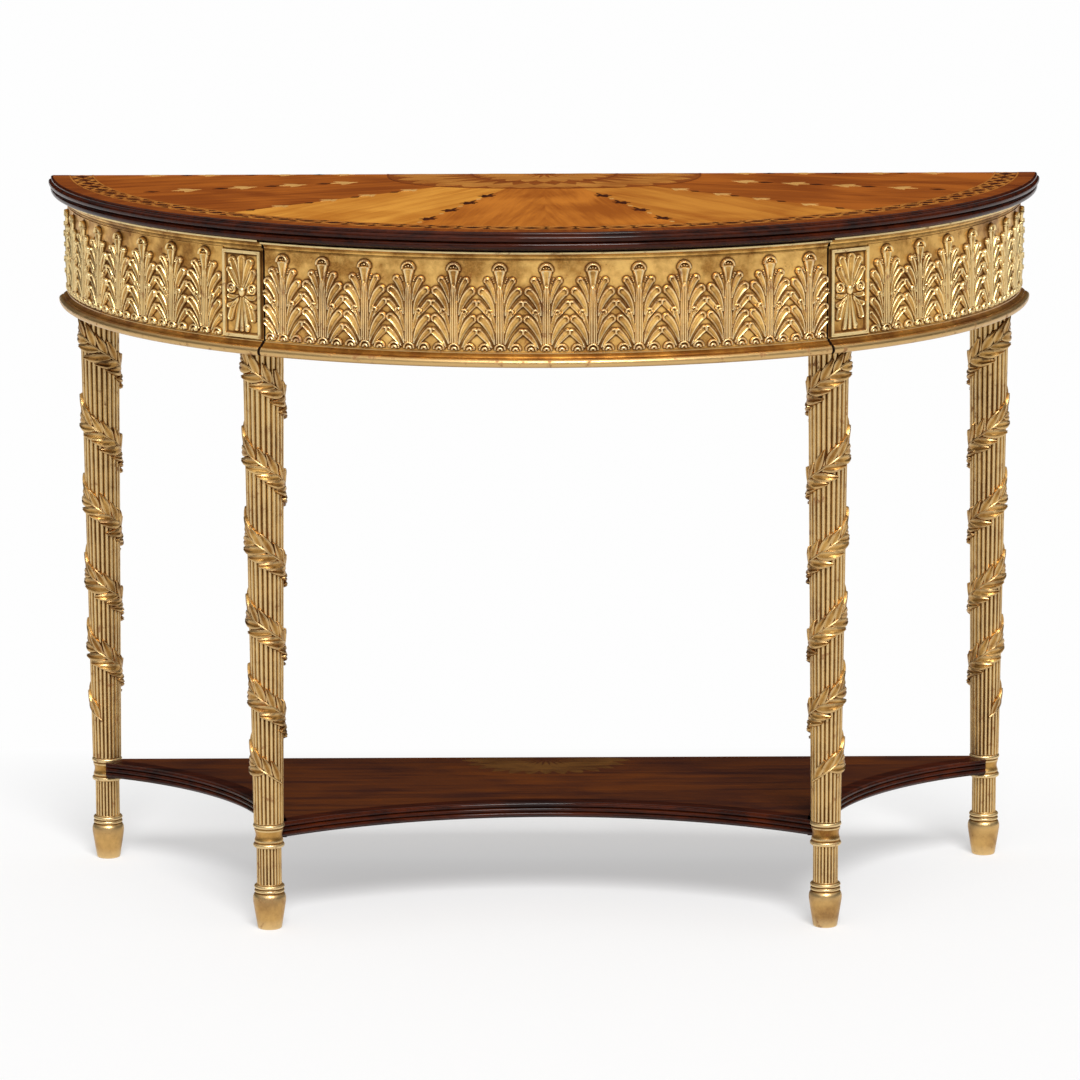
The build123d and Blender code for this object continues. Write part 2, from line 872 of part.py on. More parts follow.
with BuildPart() as leg:
    for low, low_radius, high, high_radius in (
        (collar_top, leg_low_radius, frieze_bottom, leg_top_radius),
        (foot_ring_top, stub_radius, collar_bottom, stub_radius),
    ):
        loft([reeded_face(low, low_radius), reeded_face(high, high_radius)], ruled=True)
    with BuildSketch(Plane.XZ):
        with BuildLine():
            upper_ring = collar_top - collar_ring
            lower_ring = collar_bottom + collar_ring
            ring_edge = collar_radius - fillet_step
            Polyline(
                (0, collar_bottom),
                (collar_radius, collar_bottom),
                (collar_radius, lower_ring - fillet_step),
                (ring_edge, lower_ring),
            )
            round_edge(
                (ring_edge, lower_ring),
                (neck_radius - fillet_step, shelf_middle),
                (ring_edge, upper_ring),
                turned_chord_count,
            )
            Polyline(
                (ring_edge, upper_ring),
                (collar_radius, upper_ring + fillet_step),
                (collar_radius, collar_top),
                (0, collar_top),
                (0, collar_bottom),
            )
        make_face()
    revolve(axis=Axis.Z)
    with BuildSketch(Plane.XZ):
        foot_top = foot_ring_top - foot_ring
        with BuildLine():
            Polyline(
                (0, foot_ring_top),
                (0, 0),
                (toe_radius, 0),
                (foot_radius, foot_top - foot_shoulder),
            )
            round_edge(
                (foot_radius, foot_top - foot_shoulder),
                (foot_radius - fillet_step / 2, foot_top - foot_shoulder / 2),
                (foot_ring_radius - fillet_step, foot_top),
                turned_chord_count,
            )
            Polyline(
                (foot_ring_radius - fillet_step, foot_top),
                (foot_ring_radius, foot_top + fillet_step),
                (foot_ring_radius, foot_ring_top - fillet_step),
                (foot_ring_radius - fillet_step, foot_ring_top),
                (0, foot_ring_top),
            )
        make_face()
    revolve(axis=Axis.Z)
    with BuildSketch(Plane.XY.offset(frieze_bottom)):
        Circle(leg_tenon_radius)
    extrude(amount=leg_tenon_height)
    with BuildSketch(Plane.YZ.offset(neck_radius - dowel_in_leg)):
        with Locations((0, shelf_middle)):
            Circle(dowel_radius + joint_clearance)
    extrude(amount=dowel_in_leg + collar_radius, mode=Mode.SUBTRACT)

leg_places = {
    "leg_front_left": (-front_leg_x, front_leg_y),
    "leg_front_right": (front_leg_x, front_leg_y),
    "leg_back_left": (-back_leg_x, back_leg_y),
    "leg_back_right": (back_leg_x, back_leg_y),
}
front_left, front_right, back_left, back_right = leg_places.values()


# ---------------------------------------------------------------- shelf
def sagged_circle(start, end, sag):
    """Centre and radius of the arc that hollows the edge from start to end by sag.

    The shelf lies on the left hand of someone who walks from start to end.
    """
    half = hypot(end[0] - start[0], end[1] - start[1]) / 2
    radius = (half**2 + sag**2) / (2 * sag)
    middle = ((start[0] + end[0]) / 2, (start[1] + end[1]) / 2)
    left = ((start[1] - end[1]) / 2 / half, (end[0] - start[0]) / 2 / half)
    offset = sag - radius
    return (middle[0] + left[0] * offset, middle[1] + left[1] * offset), radius


side_start = (back_leg_x, back_leg_y - shelf_ear)
front_hollow = sagged_circle(front_left, front_right, shelf_front_sag)
side_hollow = sagged_circle(front_right, side_start, shelf_side_sag)
side_hollow_left = ((-side_hollow[0][0], side_hollow[0][1]), side_hollow[1])


def inward(place, hollow):
    """Unit vector from the centre of a hollow edge through a place on it."""
    centre, _ = hollow
    reach = hypot(place[0] - centre[0], place[1] - centre[1])
    return (place[0] - centre[0]) / reach, (place[1] - centre[1]) / reach


def mitre_angle():
    """Plan angle of the mitre between the mouldings at the right front leg."""
    a = inward(front_right, front_hollow)
    b = inward(front_right, side_hollow)
    return degrees(atan2(a[1] + b[1], a[0] + b[0]))


# Plan angle in which the dowel of each leg points into the shelf.
dowel_angles = {
    "leg_front_left": 180 - mitre_angle(),
    "leg_front_right": mitre_angle(),
    "leg_back_left": -back_dowel_angle,
    "leg_back_right": 180 + back_dowel_angle,
}

for name, (x, y) in leg_places.items():
    turned = leg.part.moved(Location((x, y, 0), (0, 0, dowel_angles[name])))
    save(turned, name)


def leg_notches():
    """Round notches that fit the shelf to the collars of the legs."""
    with Locations(*[(x, y, shelf_middle) for x, y in leg_places.values()]):
        Cylinder(collar_radius + shelf_clearance, shelf_thickness, mode=Mode.SUBTRACT)


def dowels(radius, mode):
    """Dowels from the collars into the shelf, or their bores."""
    start = neck_radius - dowel_in_leg
    for name, (x, y) in leg_places.items():
        angle = radians(dowel_angles[name])
        along = (cos(angle), sin(angle), 0)
        origin = (x + start * along[0], y + start * along[1], shelf_middle)
        with BuildSketch(Plane(origin=origin, x_dir=(0, 0, 1), z_dir=along)) as section:
            Circle(radius)
        extrude(section.sketch, amount=dowel_in_leg + dowel_in_shelf, mode=mode)


with BuildPart() as shelf_dowels:
    dowels(dowel_radius, Mode.ADD)
save(shelf_dowels.part, "shelf_dowels")

with BuildPart() as shelf_board:
    with BuildSketch(Plane.XY.offset(shelf_bottom)):
        with BuildLine():
            Polyline(
                (-side_start[0], side_start[1]),
                back_left,
                back_right,
                side_start,
                front_right,
                front_left,
                close=True,
            )
        make_face()
        for centre, radius in (front_hollow, side_hollow, side_hollow_left):
            with Locations(centre):
                Circle(radius + shelf_edge_width, mode=Mode.SUBTRACT)
    extrude(amount=shelf_thickness)
    leg_notches()
    dowels(dowel_radius + joint_clearance, Mode.SUBTRACT)
save(shelf_board.part, "shelf_board")


def shelf_edge_ring(centre, radius, start, sweep):
    """Reeded edge moulding bent along one hollow edge of the shelf."""
    pitch = shelf_thickness / shelf_reeds
    with BuildSketch(section_plane(start, centre)) as section:
        with BuildLine():
            edge = radius + shelf_reed_depth
            Polyline(
                (edge, shelf_top),
                (radius + shelf_edge_width, shelf_top),
                (radius + shelf_edge_width, shelf_bottom),
                (edge, shelf_bottom),
            )
            for i in range(shelf_reeds):
                low = shelf_bottom + i * pitch
                round_edge((edge, low), (radius, low + pitch / 2), (edge, low + pitch))
        make_face()
    axis = Axis((centre[0], centre[1], 0), (0, 0, 1))
    revolve(section.sketch, axis=axis, revolution_arc=sweep)


def mitre_plane(side):
    """Upright plane through the mitre at a front leg, facing away from the middle line."""
    angle = radians(mitre_angle())
    normal = (side * sin(angle), -cos(angle), 0)
    return Plane(origin=(side * front_leg_x, front_leg_y, 0), z_dir=normal)


def plan_angle(centre, place):
    """Angle of a place about a centre, as section_plane counts it."""
    return degrees(atan2(place[0] - centre[0], centre[1] - place[1]))


with BuildPart() as shelf_front_moulding:
    centre, radius = front_hollow
    first = plan_angle(centre, front_right)
    last = full_turn - first
    shelf_edge_ring(centre, radius, first - mitre_sweep, last - first + 2 * mitre_sweep)
    leg_notches()
    dowels(dowel_radius + joint_clearance, Mode.SUBTRACT)
    for side in (-1, 1):
        split(bisect_by=mitre_plane(side), keep=Keep.BOTTOM)
save(shelf_front_moulding.part, "shelf_front_moulding")

with BuildPart() as shelf_side_moulding:
    centre, radius = side_hollow
    first = plan_angle(centre, side_start) % full_turn
    last = plan_angle(centre, front_right) % full_turn
    shelf_edge_ring(centre, radius, first - mitre_sweep, last - first + 2 * mitre_sweep)
    split(bisect_by=mitre_plane(1), keep=Keep.TOP)
    split(bisect_by=Plane.YZ.offset(back_leg_x), keep=Keep.BOTTOM)
    leg_notches()
    dowels(dowel_radius + joint_clearance, Mode.SUBTRACT)
save_pair(shelf_side_moulding.part, "shelf_side_moulding")
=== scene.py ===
import json
import math

import bmesh
import bpy
import numpy as np
from bpy.props import FloatProperty, FloatVectorProperty, IntProperty, PointerProperty
from mathutils import Matrix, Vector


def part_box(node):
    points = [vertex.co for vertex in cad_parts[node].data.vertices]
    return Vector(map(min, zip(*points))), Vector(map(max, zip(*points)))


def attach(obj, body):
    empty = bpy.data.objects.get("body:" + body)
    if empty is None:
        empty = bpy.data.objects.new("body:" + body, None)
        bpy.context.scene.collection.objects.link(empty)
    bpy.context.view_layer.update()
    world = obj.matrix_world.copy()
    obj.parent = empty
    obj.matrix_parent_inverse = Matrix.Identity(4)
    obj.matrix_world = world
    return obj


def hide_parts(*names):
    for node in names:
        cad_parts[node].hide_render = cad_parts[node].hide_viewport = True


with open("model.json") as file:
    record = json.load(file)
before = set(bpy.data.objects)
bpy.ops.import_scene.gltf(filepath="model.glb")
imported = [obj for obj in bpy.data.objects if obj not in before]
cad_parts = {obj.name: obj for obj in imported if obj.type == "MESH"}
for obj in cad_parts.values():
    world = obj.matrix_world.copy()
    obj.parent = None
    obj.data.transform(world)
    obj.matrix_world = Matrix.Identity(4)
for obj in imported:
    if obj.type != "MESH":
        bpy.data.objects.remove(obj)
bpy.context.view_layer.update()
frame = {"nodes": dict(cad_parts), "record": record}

bl_info = {
    "name": "Demilune Table",
    "version": (1, 0, 0),
    "blender": (4, 5, 0),
    "location": "View3D > Sidebar > Demilune",
    "description": "Carves, gilds and veneers a demilune table on its CAD frame",
    "category": "Object",
}

# ---------------------------------------------------------------- measures taken from the frame
edge_low, edge_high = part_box("top_edge_moulding")
under_low, under_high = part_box("top_under_moulding")
panel_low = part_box("top_panel")[0]
carving_low, carving_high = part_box("drawer_carving")
top_width = edge_high.x - edge_low.x
top_depth = edge_high.y - edge_low.y
back_y = edge_high.y
bow_radius = (top_width**2 / 4 + top_depth**2) / (2 * top_depth)
axis_y = edge_low.y + bow_radius
face_radius = axis_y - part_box("drawer_front")[0].y
drawer_angle = math.asin(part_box("drawer_front")[1].x / face_radius)
pier_start = math.asin(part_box("side_cornice_right")[0].x / face_radius)
pier_end = math.asin(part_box("side_carving_right")[0].x / face_radius)
leg_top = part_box("front_pier_right")[0].z
shelf_low, shelf_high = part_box("shelf_board")
top_z = edge_high.z
panel_radius = axis_y - panel_low.y

LEGS = ("leg_front_left", "leg_front_right", "leg_back_left", "leg_back_right")
JOINT_GAP = 0.0009  # angle left free at each end of the drawer's run
SHARP_ANGLE = math.radians(38)  # a mesh is creased where its faces turn by more


# ---------------------------------------------------------------- what a user can change
def length_setting(name, description, default):
    """A length that a user can change."""
    return FloatProperty(name=name, description=description, default=default, unit="LENGTH")


def colour_setting(name, description, default):
    """A colour that a user can change."""
    return FloatVectorProperty(
        name=name, description=description, default=default, subtype="COLOR"
    )


class TableSizes(bpy.types.PropertyGroup):
    """Sizes of the carved and turned work."""

    carving_step: length_setting(
        "Carving step", "Distance between the points of the reliefs", 0.0006
    )
    drawer_leaves: IntProperty(
        name="Drawer leaves", description="Acanthus leaves on the drawer", default=13
    )
    side_leaves: IntProperty(
        name="Side leaves", description="Acanthus leaves on each side frieze", default=8
    )
    side_leaf_pitch: FloatProperty(
        name="Side leaf pitch",
        description="Angle from leaf to leaf on the side friezes",
        default=math.radians(5.62),
        subtype="ANGLE",
    )
    reeds: IntProperty(name="Reeds", description="Reeds round each leg", default=22)
    reed_depth: length_setting("Reed depth", "Depth of the grooves", 0.0027)
    shaft_top: length_setting("Shaft radius, top", "Radius over the reeds under the frieze", 0.0252)
    shaft_foot: length_setting(
        "Shaft radius, collar", "Radius over the reeds above the collar", 0.0185
    )
    garland_pitch: FloatProperty(
        name="Garland pitch",
        description="Height of one turn of the garland over the radius of the leg",
        default=4.5,
        subtype="FACTOR",
    )
    leaf_length: length_setting("Garland leaf", "Length of its leaves", 0.033)
    veneer: length_setting("Veneer", "Thickness of the inlaid veneers", 0.0003)


class TableColours(bpy.types.PropertyGroup):
    """Colours of the finishes."""

    leaf_gold: colour_setting("Gold leaf", "Fresh gold", (0.80, 0.50, 0.17))
    old_gold: colour_setting("Old gold", "Toned gold", (0.42, 0.21, 0.055))
    # Bright gold for the ridges: partly real burnishing, partly painted highlight.
    burnish_highlight: colour_setting("Burnish Highlight", "Bright gold of the ridges", (1.0, 0.78, 0.43))
    bole: colour_setting("Bole", "Red clay under the gold", (0.26, 0.07, 0.025))
    # Dark colour of the hollows: dark wax, partly painted shade in the recesses.
    glaze_and_shade: colour_setting("Glaze And Shade", "Dark wax in the hollows", (0.12, 0.045, 0.010))
    mahogany_dark: colour_setting("Mahogany, dark", "Dark grain", (0.022, 0.006, 0.004))
    mahogany_light: colour_setting("Mahogany, light", "Light grain", (0.135, 0.034, 0.004))
    satinwood_dark: colour_setting("Satinwood, dark", "Dark grain", (0.38, 0.10, 0.010))
    satinwood_light: colour_setting("Satinwood, light", "Light grain", (0.62, 0.20, 0.022))


def sizes():
    """The sizes set in the scene."""
    return bpy.context.scene.demilune_sizes


def colours():
    """The colours set in the scene."""
    return bpy.context.scene.demilune_colours


# ---------------------------------------------------------------- making meshes
def about(centre, radius, angle):
    """Place on a circle about a centre."""
    return (centre[0] + radius * math.cos(angle), centre[1] + radius * math.sin(angle))


def from_front(centre, radius, angle, z):
    """Point on a circle about a centre, at an angle from its front."""
    return (centre[0] + radius * math.sin(angle), centre[1] - radius * math.cos(angle), z)


def bow(angle, radius, z):
    """Point on the bow of the table: angle from the middle of the front."""
    return from_front((0.0, axis_y), radius, angle, z)


def back_angle(radius):
    """Angle at which a circle about the bow's axis meets the back of the table."""
    return math.acos((axis_y - back_y) / radius)


def make_piece(name, points, faces, material, body="table", smooth=True, outward=True):
    """A mesh object that rides on a body of the frame; outward turns its faces that way."""
    mesh = bpy.data.meshes.new(name)
    mesh.from_pydata(points, [], faces)
    if outward:
        shell = bmesh.new()
        shell.from_mesh(mesh)
        bmesh.ops.recalc_face_normals(shell, faces=shell.faces)
        shell.to_mesh(mesh)
        shell.free()
    mesh.update()
    if smooth:
        mesh.shade_smooth()
        mesh.set_sharp_from_angle(angle=SHARP_ANGLE)
    piece = bpy.data.objects.new(name, mesh)
    bpy.context.scene.collection.objects.link(piece)
    piece.data.materials.append(bpy.data.materials[material])
    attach(piece, body)
    return piece


def store(mesh, name, values):
    """Keep one number for each point of a mesh."""
    attribute = mesh.attributes.new(name, "FLOAT", "POINT")
    attribute.data.foreach_set("value", np.asarray(values, np.float32).ravel())


def read_rows(items, key, width, kind):
    """Values of all points or edges of a mesh, width to a row."""
    values = np.empty(len(items) * width, kind)
    items.foreach_get(key, values)
    return values.reshape(-1, width)


def mark_hollows(mesh, gain=3.0, passes=2):
    """Keep how deep each point lies in a hollow (above 0) or how proud it stands (below 0)."""
    points = read_rows(mesh.vertices, "co", 3, np.float32)
    normals = read_rows(mesh.vertex_normals, "vector", 3, np.float32)
    first, last = read_rows(mesh.edges, "vertices", 2, np.int64).T
    step = points[last] - points[first]
    length = np.linalg.norm(step, axis=1) + 1e-9
    near = 1 / length
    total = np.zeros(len(points))
    rise = np.zeros(len(points))
    for here, way in ((first, step), (last, -step)):
        np.add.at(total, here, near)
        np.add.at(rise, here, (way * normals[here]).sum(1) / length * near)
    value = rise / total
    for _ in range(passes):
        around = np.zeros(len(points))
        np.add.at(around, first, value[last] * near)
        np.add.at(around, last, value[first] * near)
        value = (value + around / total) / 2
    store(mesh, "hollow", np.clip(value * gain, -1, 1))


def paint_shade_band(mesh, low, high, amount):
    """Count the points between two heights as lying in a hollow, so that they darken: painted
    shade.
    """
    attribute = mesh.attributes["hollow"].data
    for vertex in mesh.vertices:
        if low < vertex.co.z < high:
            attribute[vertex.index].value = amount


def ring_faces(rings, count):
    """Quads between closed rings of points, and the two end caps."""
    faces = []
    for ring in range(rings - 1):
        here, there = ring * count, (ring + 1) * count
        for i in range(count):
            j = (i + 1) % count
            faces.append((here + i, here + j, there + j, there + i))
    faces.append(tuple(range(count)))
    faces.append(tuple(range((rings - 1) * count, rings * count)))
    return faces


def bow_sweep(section, start=None, end=None, step=0.006):
    """A closed section carried round the bow; an end that is left out lies in the back plane."""
    widest = back_angle(bow_radius)
    reach = (widest if end is None else end) - (-widest if start is None else start)
    count = max(2, round(reach * bow_radius / step))
    points = []
    for i in range(count + 1):
        share = i / count
        for radius, z in section:
            first = -back_angle(radius) if start is None else start
            last = back_angle(radius) if end is None else end
            points.append(bow(first + (last - first) * share, radius, z))
    return points, ring_faces(count + 1, len(section))


def arc(centre, radius, start, end, count=8):
    """Points of an arc in a section, from one angle to another in degrees."""
    degrees = [start + (end - start) * i / count for i in range(count + 1)]
    return [about(centre, radius, math.radians(angle)) for angle in degrees]


def lathe(section, centre, count=96):
    """A closed section turned about an upright line."""
    points = []
    for i in range(count):
        angle = 2 * math.pi * i / count
        points += [(*about(centre, radius, angle), z) for radius, z in section]
    size = len(section)
    faces = []
    for i in range(count):
        j = (i + 1) % count
        for k in range(size):
            m = (k + 1) % size
            faces.append((i * size + k, j * size + k, j * size + m, i * size + m))
    return points, faces


def gather(parts):
    """Several sets of points and faces as one."""
    points, faces = [], []
    for part_points, part_faces in parts:
        base = len(points)
        points += [tuple(p) for p in part_points]
        faces += [tuple(base + i for i in face) for face in part_faces]
    return points, faces


def slab(outline, low, high):
    """A flat outline given thickness."""
    count = len(outline)
    points = [(x, y, low) for x, y in outline] + [(x, y, high) for x, y in outline]
    faces = [tuple(range(count)), tuple(range(count, 2 * count))]
    for i in range(count):
        j = (i + 1) % count
        faces.append((i, j, count + j, count + i))
    return points, faces


# ---------------------------------------------------------------- shader groups and materials
def fill(tree, node, sockets):
    """Link or set the sockets of a node."""
    for key, value in sockets.items():
        if isinstance(value, bpy.types.NodeSocket):
            tree.links.new(value, node.inputs[key])
        else:
            node.inputs[key].default_value = value


def add_node(tree, kind, sockets=None, **settings):
    """Add a shader node, set its options, and fill its sockets."""
    node = tree.nodes.new(kind)
    for key, value in settings.items():
        setattr(node, key, value)
    fill(tree, node, sockets or {})
    return node


def object_place(tree):
    """Place on the piece, in metres."""
    return add_node(tree, "ShaderNodeTexCoord").outputs["Object"]


def mesh_value(tree, name, kind):
    """A value that a mesh keeps for each of its points."""
    return add_node(tree, "ShaderNodeAttribute", attribute_name=name).outputs[kind]


def seen_rays(tree):
    """1 for rays that show a surface, and 0 for those that carry light from it."""
    paths = add_node(tree, "ShaderNodeLightPath").outputs
    seen = larger(tree, paths["Is Camera Ray"], paths["Is Glossy Ray"])
    return larger(tree, seen, paths["Is Transmission Ray"])


def noise(tree, place, scale, detail=3.0, roughness=0.55, distortion=0.0):
    """Noise over a place, as a value from 0 to 1."""
    sockets = {"Vector": place, "Scale": scale, "Detail": detail}
    sockets.update({"Roughness": roughness, "Distortion": distortion})
    return add_node(tree, "ShaderNodeTexNoise", sockets).outputs[0]


def spread(tree, value, low, high, to_low=0.0, to_high=1.0):
    """Map a value from one range to another, held at the ends."""
    sockets = {"Value": value, "From Min": low, "From Max": high}
    sockets.update({"To Min": to_low, "To Max": to_high})
    return add_node(tree, "ShaderNodeMapRange", sockets, clamp=True).outputs[0]


def blend(tree, share, first, second):
    """Mix two colours."""
    sockets = {0: share, 6: first, 7: second}
    return add_node(tree, "ShaderNodeMix", sockets, data_type="RGBA").outputs[2]


def calc(tree, operation, first, second=0.0, hold=False):
    """One sum on two values; hold keeps it from 0 to 1."""
    settings = {"operation": operation, "use_clamp": hold}
    return add_node(tree, "ShaderNodeMath", {0: first, 1: second}, **settings).outputs[0]


def plus(tree, first, second):
    """Sum of two values."""
    return calc(tree, "ADD", first, second)


def minus(tree, first, second):
    """Difference of two values."""
    return calc(tree, "SUBTRACT", first, second)


def times(tree, first, second, hold=False):
    """Product of two values."""
    return calc(tree, "MULTIPLY", first, second, hold)


def larger(tree, first, second, hold=False):
    """The larger of two values."""
    return calc(tree, "MAXIMUM", first, second, hold)


def of_place(tree, operation, place, *others):
    """One sum on a place."""
    sockets = dict(enumerate((place, *others)))
    return add_node(tree, "ShaderNodeVectorMath", sockets, operation=operation).outputs


def stretch(tree, place, scale):
    """Scale a place by axis."""
    return of_place(tree, "MULTIPLY", place, scale)[0]


def new_group(name, inputs, outputs):
    """A shader node group with named sockets, its input node and its output node."""
    group = bpy.data.node_groups.new(name, "ShaderNodeTree")
    for socket, kind, value in inputs:
        made = group.interface.new_socket(socket, in_out="INPUT", socket_type=f"NodeSocket{kind}")
        if value is not None:
            made.default_value = value
    for socket, kind in outputs:
        group.interface.new_socket(socket, in_out="OUTPUT", socket_type=f"NodeSocket{kind}")
    return group, group.nodes.new("NodeGroupInput").outputs, group.nodes.new("NodeGroupOutput")


def build_gilding_group():
    """Gold leaf over bole: toned, rubbed on the ridges, brightened on them with partly real
    burnishing and partly painted highlight, and darkened in the hollows with dark wax and painted
    shade.
    """
    group, given, result = new_group(
        "Gilding",
        (
            ("Place", "Vector", None),
            ("Hollow", "Float", 0.0),
            ("Leaf Gold", "Color", (0.8, 0.6, 0.3, 1)),
            ("Old Gold", "Color", (0.6, 0.4, 0.1, 1)),
            ("Burnish Highlight", "Color", (0.95, 0.8, 0.5, 1)),
            ("Bole", "Color", (0.3, 0.1, 0.05, 1)),
            ("Glaze And Shade", "Color", (0.05, 0.02, 0.01, 1)),
            ("Wax And Shade", "Float", 1.0),
            ("Rub", "Float", 1.0),
        ),
        (("Color", "Color"), ("Roughness", "Float"), ("Metallic", "Float"), ("Height", "Float")),
    )
    broad = noise(group, given["Place"], 22.0, 3.0)
    patch = noise(group, given["Place"], 70.0, 4.0, 0.65)
    fine = noise(group, given["Place"], 420.0, 3.0, 0.6)
    speck = noise(group, given["Place"], 950.0, 2.0, 0.5)
    toned = plus(group, times(group, broad, 0.6), times(group, patch, 0.4))
    gold = blend(group, spread(group, toned, 0.40, 0.60), given["Leaf Gold"], given["Old Gold"])
    dusk = times(group, spread(group, broad, 0.50, 0.68), spread(group, fine, 0.35, 0.65))
    gold = blend(group, times(group, dusk, 0.5), gold, given["Glaze And Shade"])
    # Proud places take the bright ridge colour: partly real burnishing, partly painted highlight.
    ridge = spread(group, times(group, given["Hollow"], -1.0), 0.08, 0.45)
    gold = blend(group, times(group, ridge, 0.92), gold, given["Burnish Highlight"])
    worn = times(group, ridge, spread(group, patch, 0.60, 0.68))
    rubbed = times(group, spread(group, patch, 0.61, 0.70), spread(group, fine, 0.45, 0.6))
    rub = times(group, larger(group, worn, rubbed), given["Rub"], True)
    gold = blend(group, times(group, rub, 0.75), gold, given["Bole"])
    # Hollows darken: dark wax, partly painted shade in the recesses.
    pooled_wax_and_shade = plus(group, given["Hollow"], times(group, minus(group, fine, 0.5), 0.5))
    wax_and_shade = spread(group, pooled_wax_and_shade, 0.15, 0.75)
    flecks = times(group, spread(group, speck, 0.69, 0.76), 0.7)
    wax_and_shade = times(group, larger(group, wax_and_shade, flecks), given["Wax And Shade"], True)
    warm = blend(group, times(group, wax_and_shade, 0.9), gold, given["Glaze And Shade"])
    rough = spread(group, patch, 0.3, 0.7, 0.32, 0.44)
    rough = plus(group, rough, times(group, larger(group, wax_and_shade, rub), 0.25))
    metal = spread(group, larger(group, wax_and_shade, rub), 0.0, 1.0, 0.88, 0.35)
    height = plus(group, times(group, patch, 0.7), times(group, fine, 0.3))
    fill(group, result, {"Color": warm, "Roughness": rough, "Metallic": metal, "Height": height})


def build_grain_group():
    """Grain of sawn or sliced wood that runs along X of the place."""
    group, given, result = new_group(
        "Wood Grain",
        (
            ("Place", "Vector", None),
            ("Light", "Color", (0.6, 0.3, 0.1, 1)),
            ("Dark", "Color", (0.3, 0.1, 0.03, 1)),
            ("Scale", "Float", 1.0),
            ("Figure", "Float", 0.5),
            ("Pores", "Float", 0.5),
        ),
        (("Color", "Color"), ("Height", "Float")),
    )
    sockets = {0: given["Place"], "Scale": given["Scale"]}
    scaled = add_node(group, "ShaderNodeVectorMath", sockets, operation="SCALE").outputs[0]
    streak = noise(group, stretch(group, scaled, (1.3, 26.0, 26.0)), 3.0, 5.0, 0.6, 0.3)
    hair = noise(group, stretch(group, scaled, (6.0, 190.0, 190.0)), 3.0, 3.0, 0.6)
    cloud = noise(group, stretch(group, scaled, (3.0, 5.0, 5.0)), 2.0, 2.0, 0.5, 0.8)
    pore = noise(group, stretch(group, scaled, (40.0, 900.0, 900.0)), 2.0, 2.0, 0.5)
    tone = plus(group, times(group, streak, 0.6), times(group, hair, 0.4))
    tone = plus(group, tone, times(group, minus(group, cloud, 0.5), given["Figure"]))
    colour = blend(group, spread(group, tone, 0.36, 0.66), given["Dark"], given["Light"])
    pits = times(group, spread(group, pore, 0.62, 0.72), given["Pores"], True)
    colour = blend(group, pits, colour, given["Dark"])
    fill(group, result, {"Color": colour, "Height": minus(group, tone, pits)})


def new_material(name):
    """An empty material, its node tree and its shader."""
    material = bpy.data.materials.new(name)
    material.use_nodes = True
    return material.node_tree, material.node_tree.nodes["Principled BSDF"]


def relief(tree, shader, height, depth):
    """Carry a height into a shader's normal."""
    bump = add_node(tree, "ShaderNodeBump", {"Height": height, "Distance": depth})
    tree.links.new(bump.outputs[0], shader.inputs["Normal"])


def opaque(colour):
    """A colour with nothing seen through it."""
    return (*colour, 1.0)


# Colour painted on as shade along and inside the gaps at the drawer's ends.
GAP_SHADE = (0.018, 0.006, 0.003, 1)
BARE_LIGHT, BARE_DARK = (0.46, 0.27, 0.13), (0.27, 0.14, 0.06)


def gap_shade_mask(tree, place):
    """1 beside the gaps at the drawer's ends, where the gaps' shadow is painted on as a dark band.
    """
    axes = add_node(tree, "ShaderNodeSeparateXYZ", {0: place}).outputs
    depth = minus(tree, axis_y, axes["Y"])
    angle = calc(tree, "ARCTAN2", calc(tree, "ABSOLUTE", axes["X"]), depth)
    far = calc(tree, "ABSOLUTE", minus(tree, angle, (drawer_angle + pier_start) / 2))
    shade_full, shade_none = 0.0029, 0.0037
    return spread(tree, far, shade_full, shade_none, 1.0, 0.0)


def gild(name, tone, wax_and_shade=1.0, rub=1.0, back=None):
    """A gilded finish, toned by a colour; back names a radius inside which the wood is bare."""
    tree, shader = new_material(name)
    place = object_place(tree)
    palette = colours()
    sockets = {
        "Place": place,
        "Hollow": mesh_value(tree, "hollow", "Fac"),
        "Leaf Gold": opaque([c * t for c, t in zip(palette.leaf_gold, tone)]),
        "Old Gold": opaque([c * t for c, t in zip(palette.old_gold, tone)]),
        "Burnish Highlight": opaque([c * min(1, 0.3 + 0.7 * t) for c, t in zip(palette.burnish_highlight, tone)]),
        "Bole": opaque(palette.bole),
        "Glaze And Shade": opaque(palette.glaze_and_shade),
        "Wax And Shade": wax_and_shade,
        "Rub": rub,
    }
    group = bpy.data.node_groups["Gilding"]
    leaf = add_node(tree, "ShaderNodeGroup", sockets, node_tree=group).outputs
    colour, rough, metal = leaf["Color"], leaf["Roughness"], leaf["Metallic"]
    if back is not None:
        grain = add_grain(tree, place, BARE_LIGHT, BARE_DARK, 1.0, 0.3, 0.4)
        flat = of_place(tree, "ADD", place, (0.0, -axis_y, 0.0))[0]
        radius = of_place(tree, "LENGTH", stretch(tree, flat, (1.0, 1.0, 0.0)))["Value"]
        # Behind the gilded skin the wood is painted dark for about 14 mm, as shade inside the gaps,
        # and bare further in.
        front = spread(tree, radius, back - 0.0006, back - 0.0004)
        gap_wall_shade = spread(tree, radius, back - 0.016, back - 0.012)
        colour = blend(tree, front, blend(tree, gap_wall_shade, grain["Color"], GAP_SHADE), colour)
        rough = plus(tree, times(tree, minus(tree, 1.0, front), 0.3), rough)
        metal = times(tree, metal, front)
    # Painted shadow of the gaps at the drawer's ends, on all but the legs.
    if not name.startswith("leg"):
        gap_shade = gap_shade_mask(tree, place)
        colour = blend(tree, gap_shade, colour, GAP_SHADE)
        metal = times(tree, metal, minus(tree, 1.0, gap_shade))
        rough = larger(tree, rough, gap_shade, True)
    sockets = {"Base Color": colour, "Roughness": rough, "Metallic": metal}
    fill(tree, shader, {**sockets, "Specular IOR Level": 0.12})
    relief(tree, shader, leaf["Height"], 0.0004)


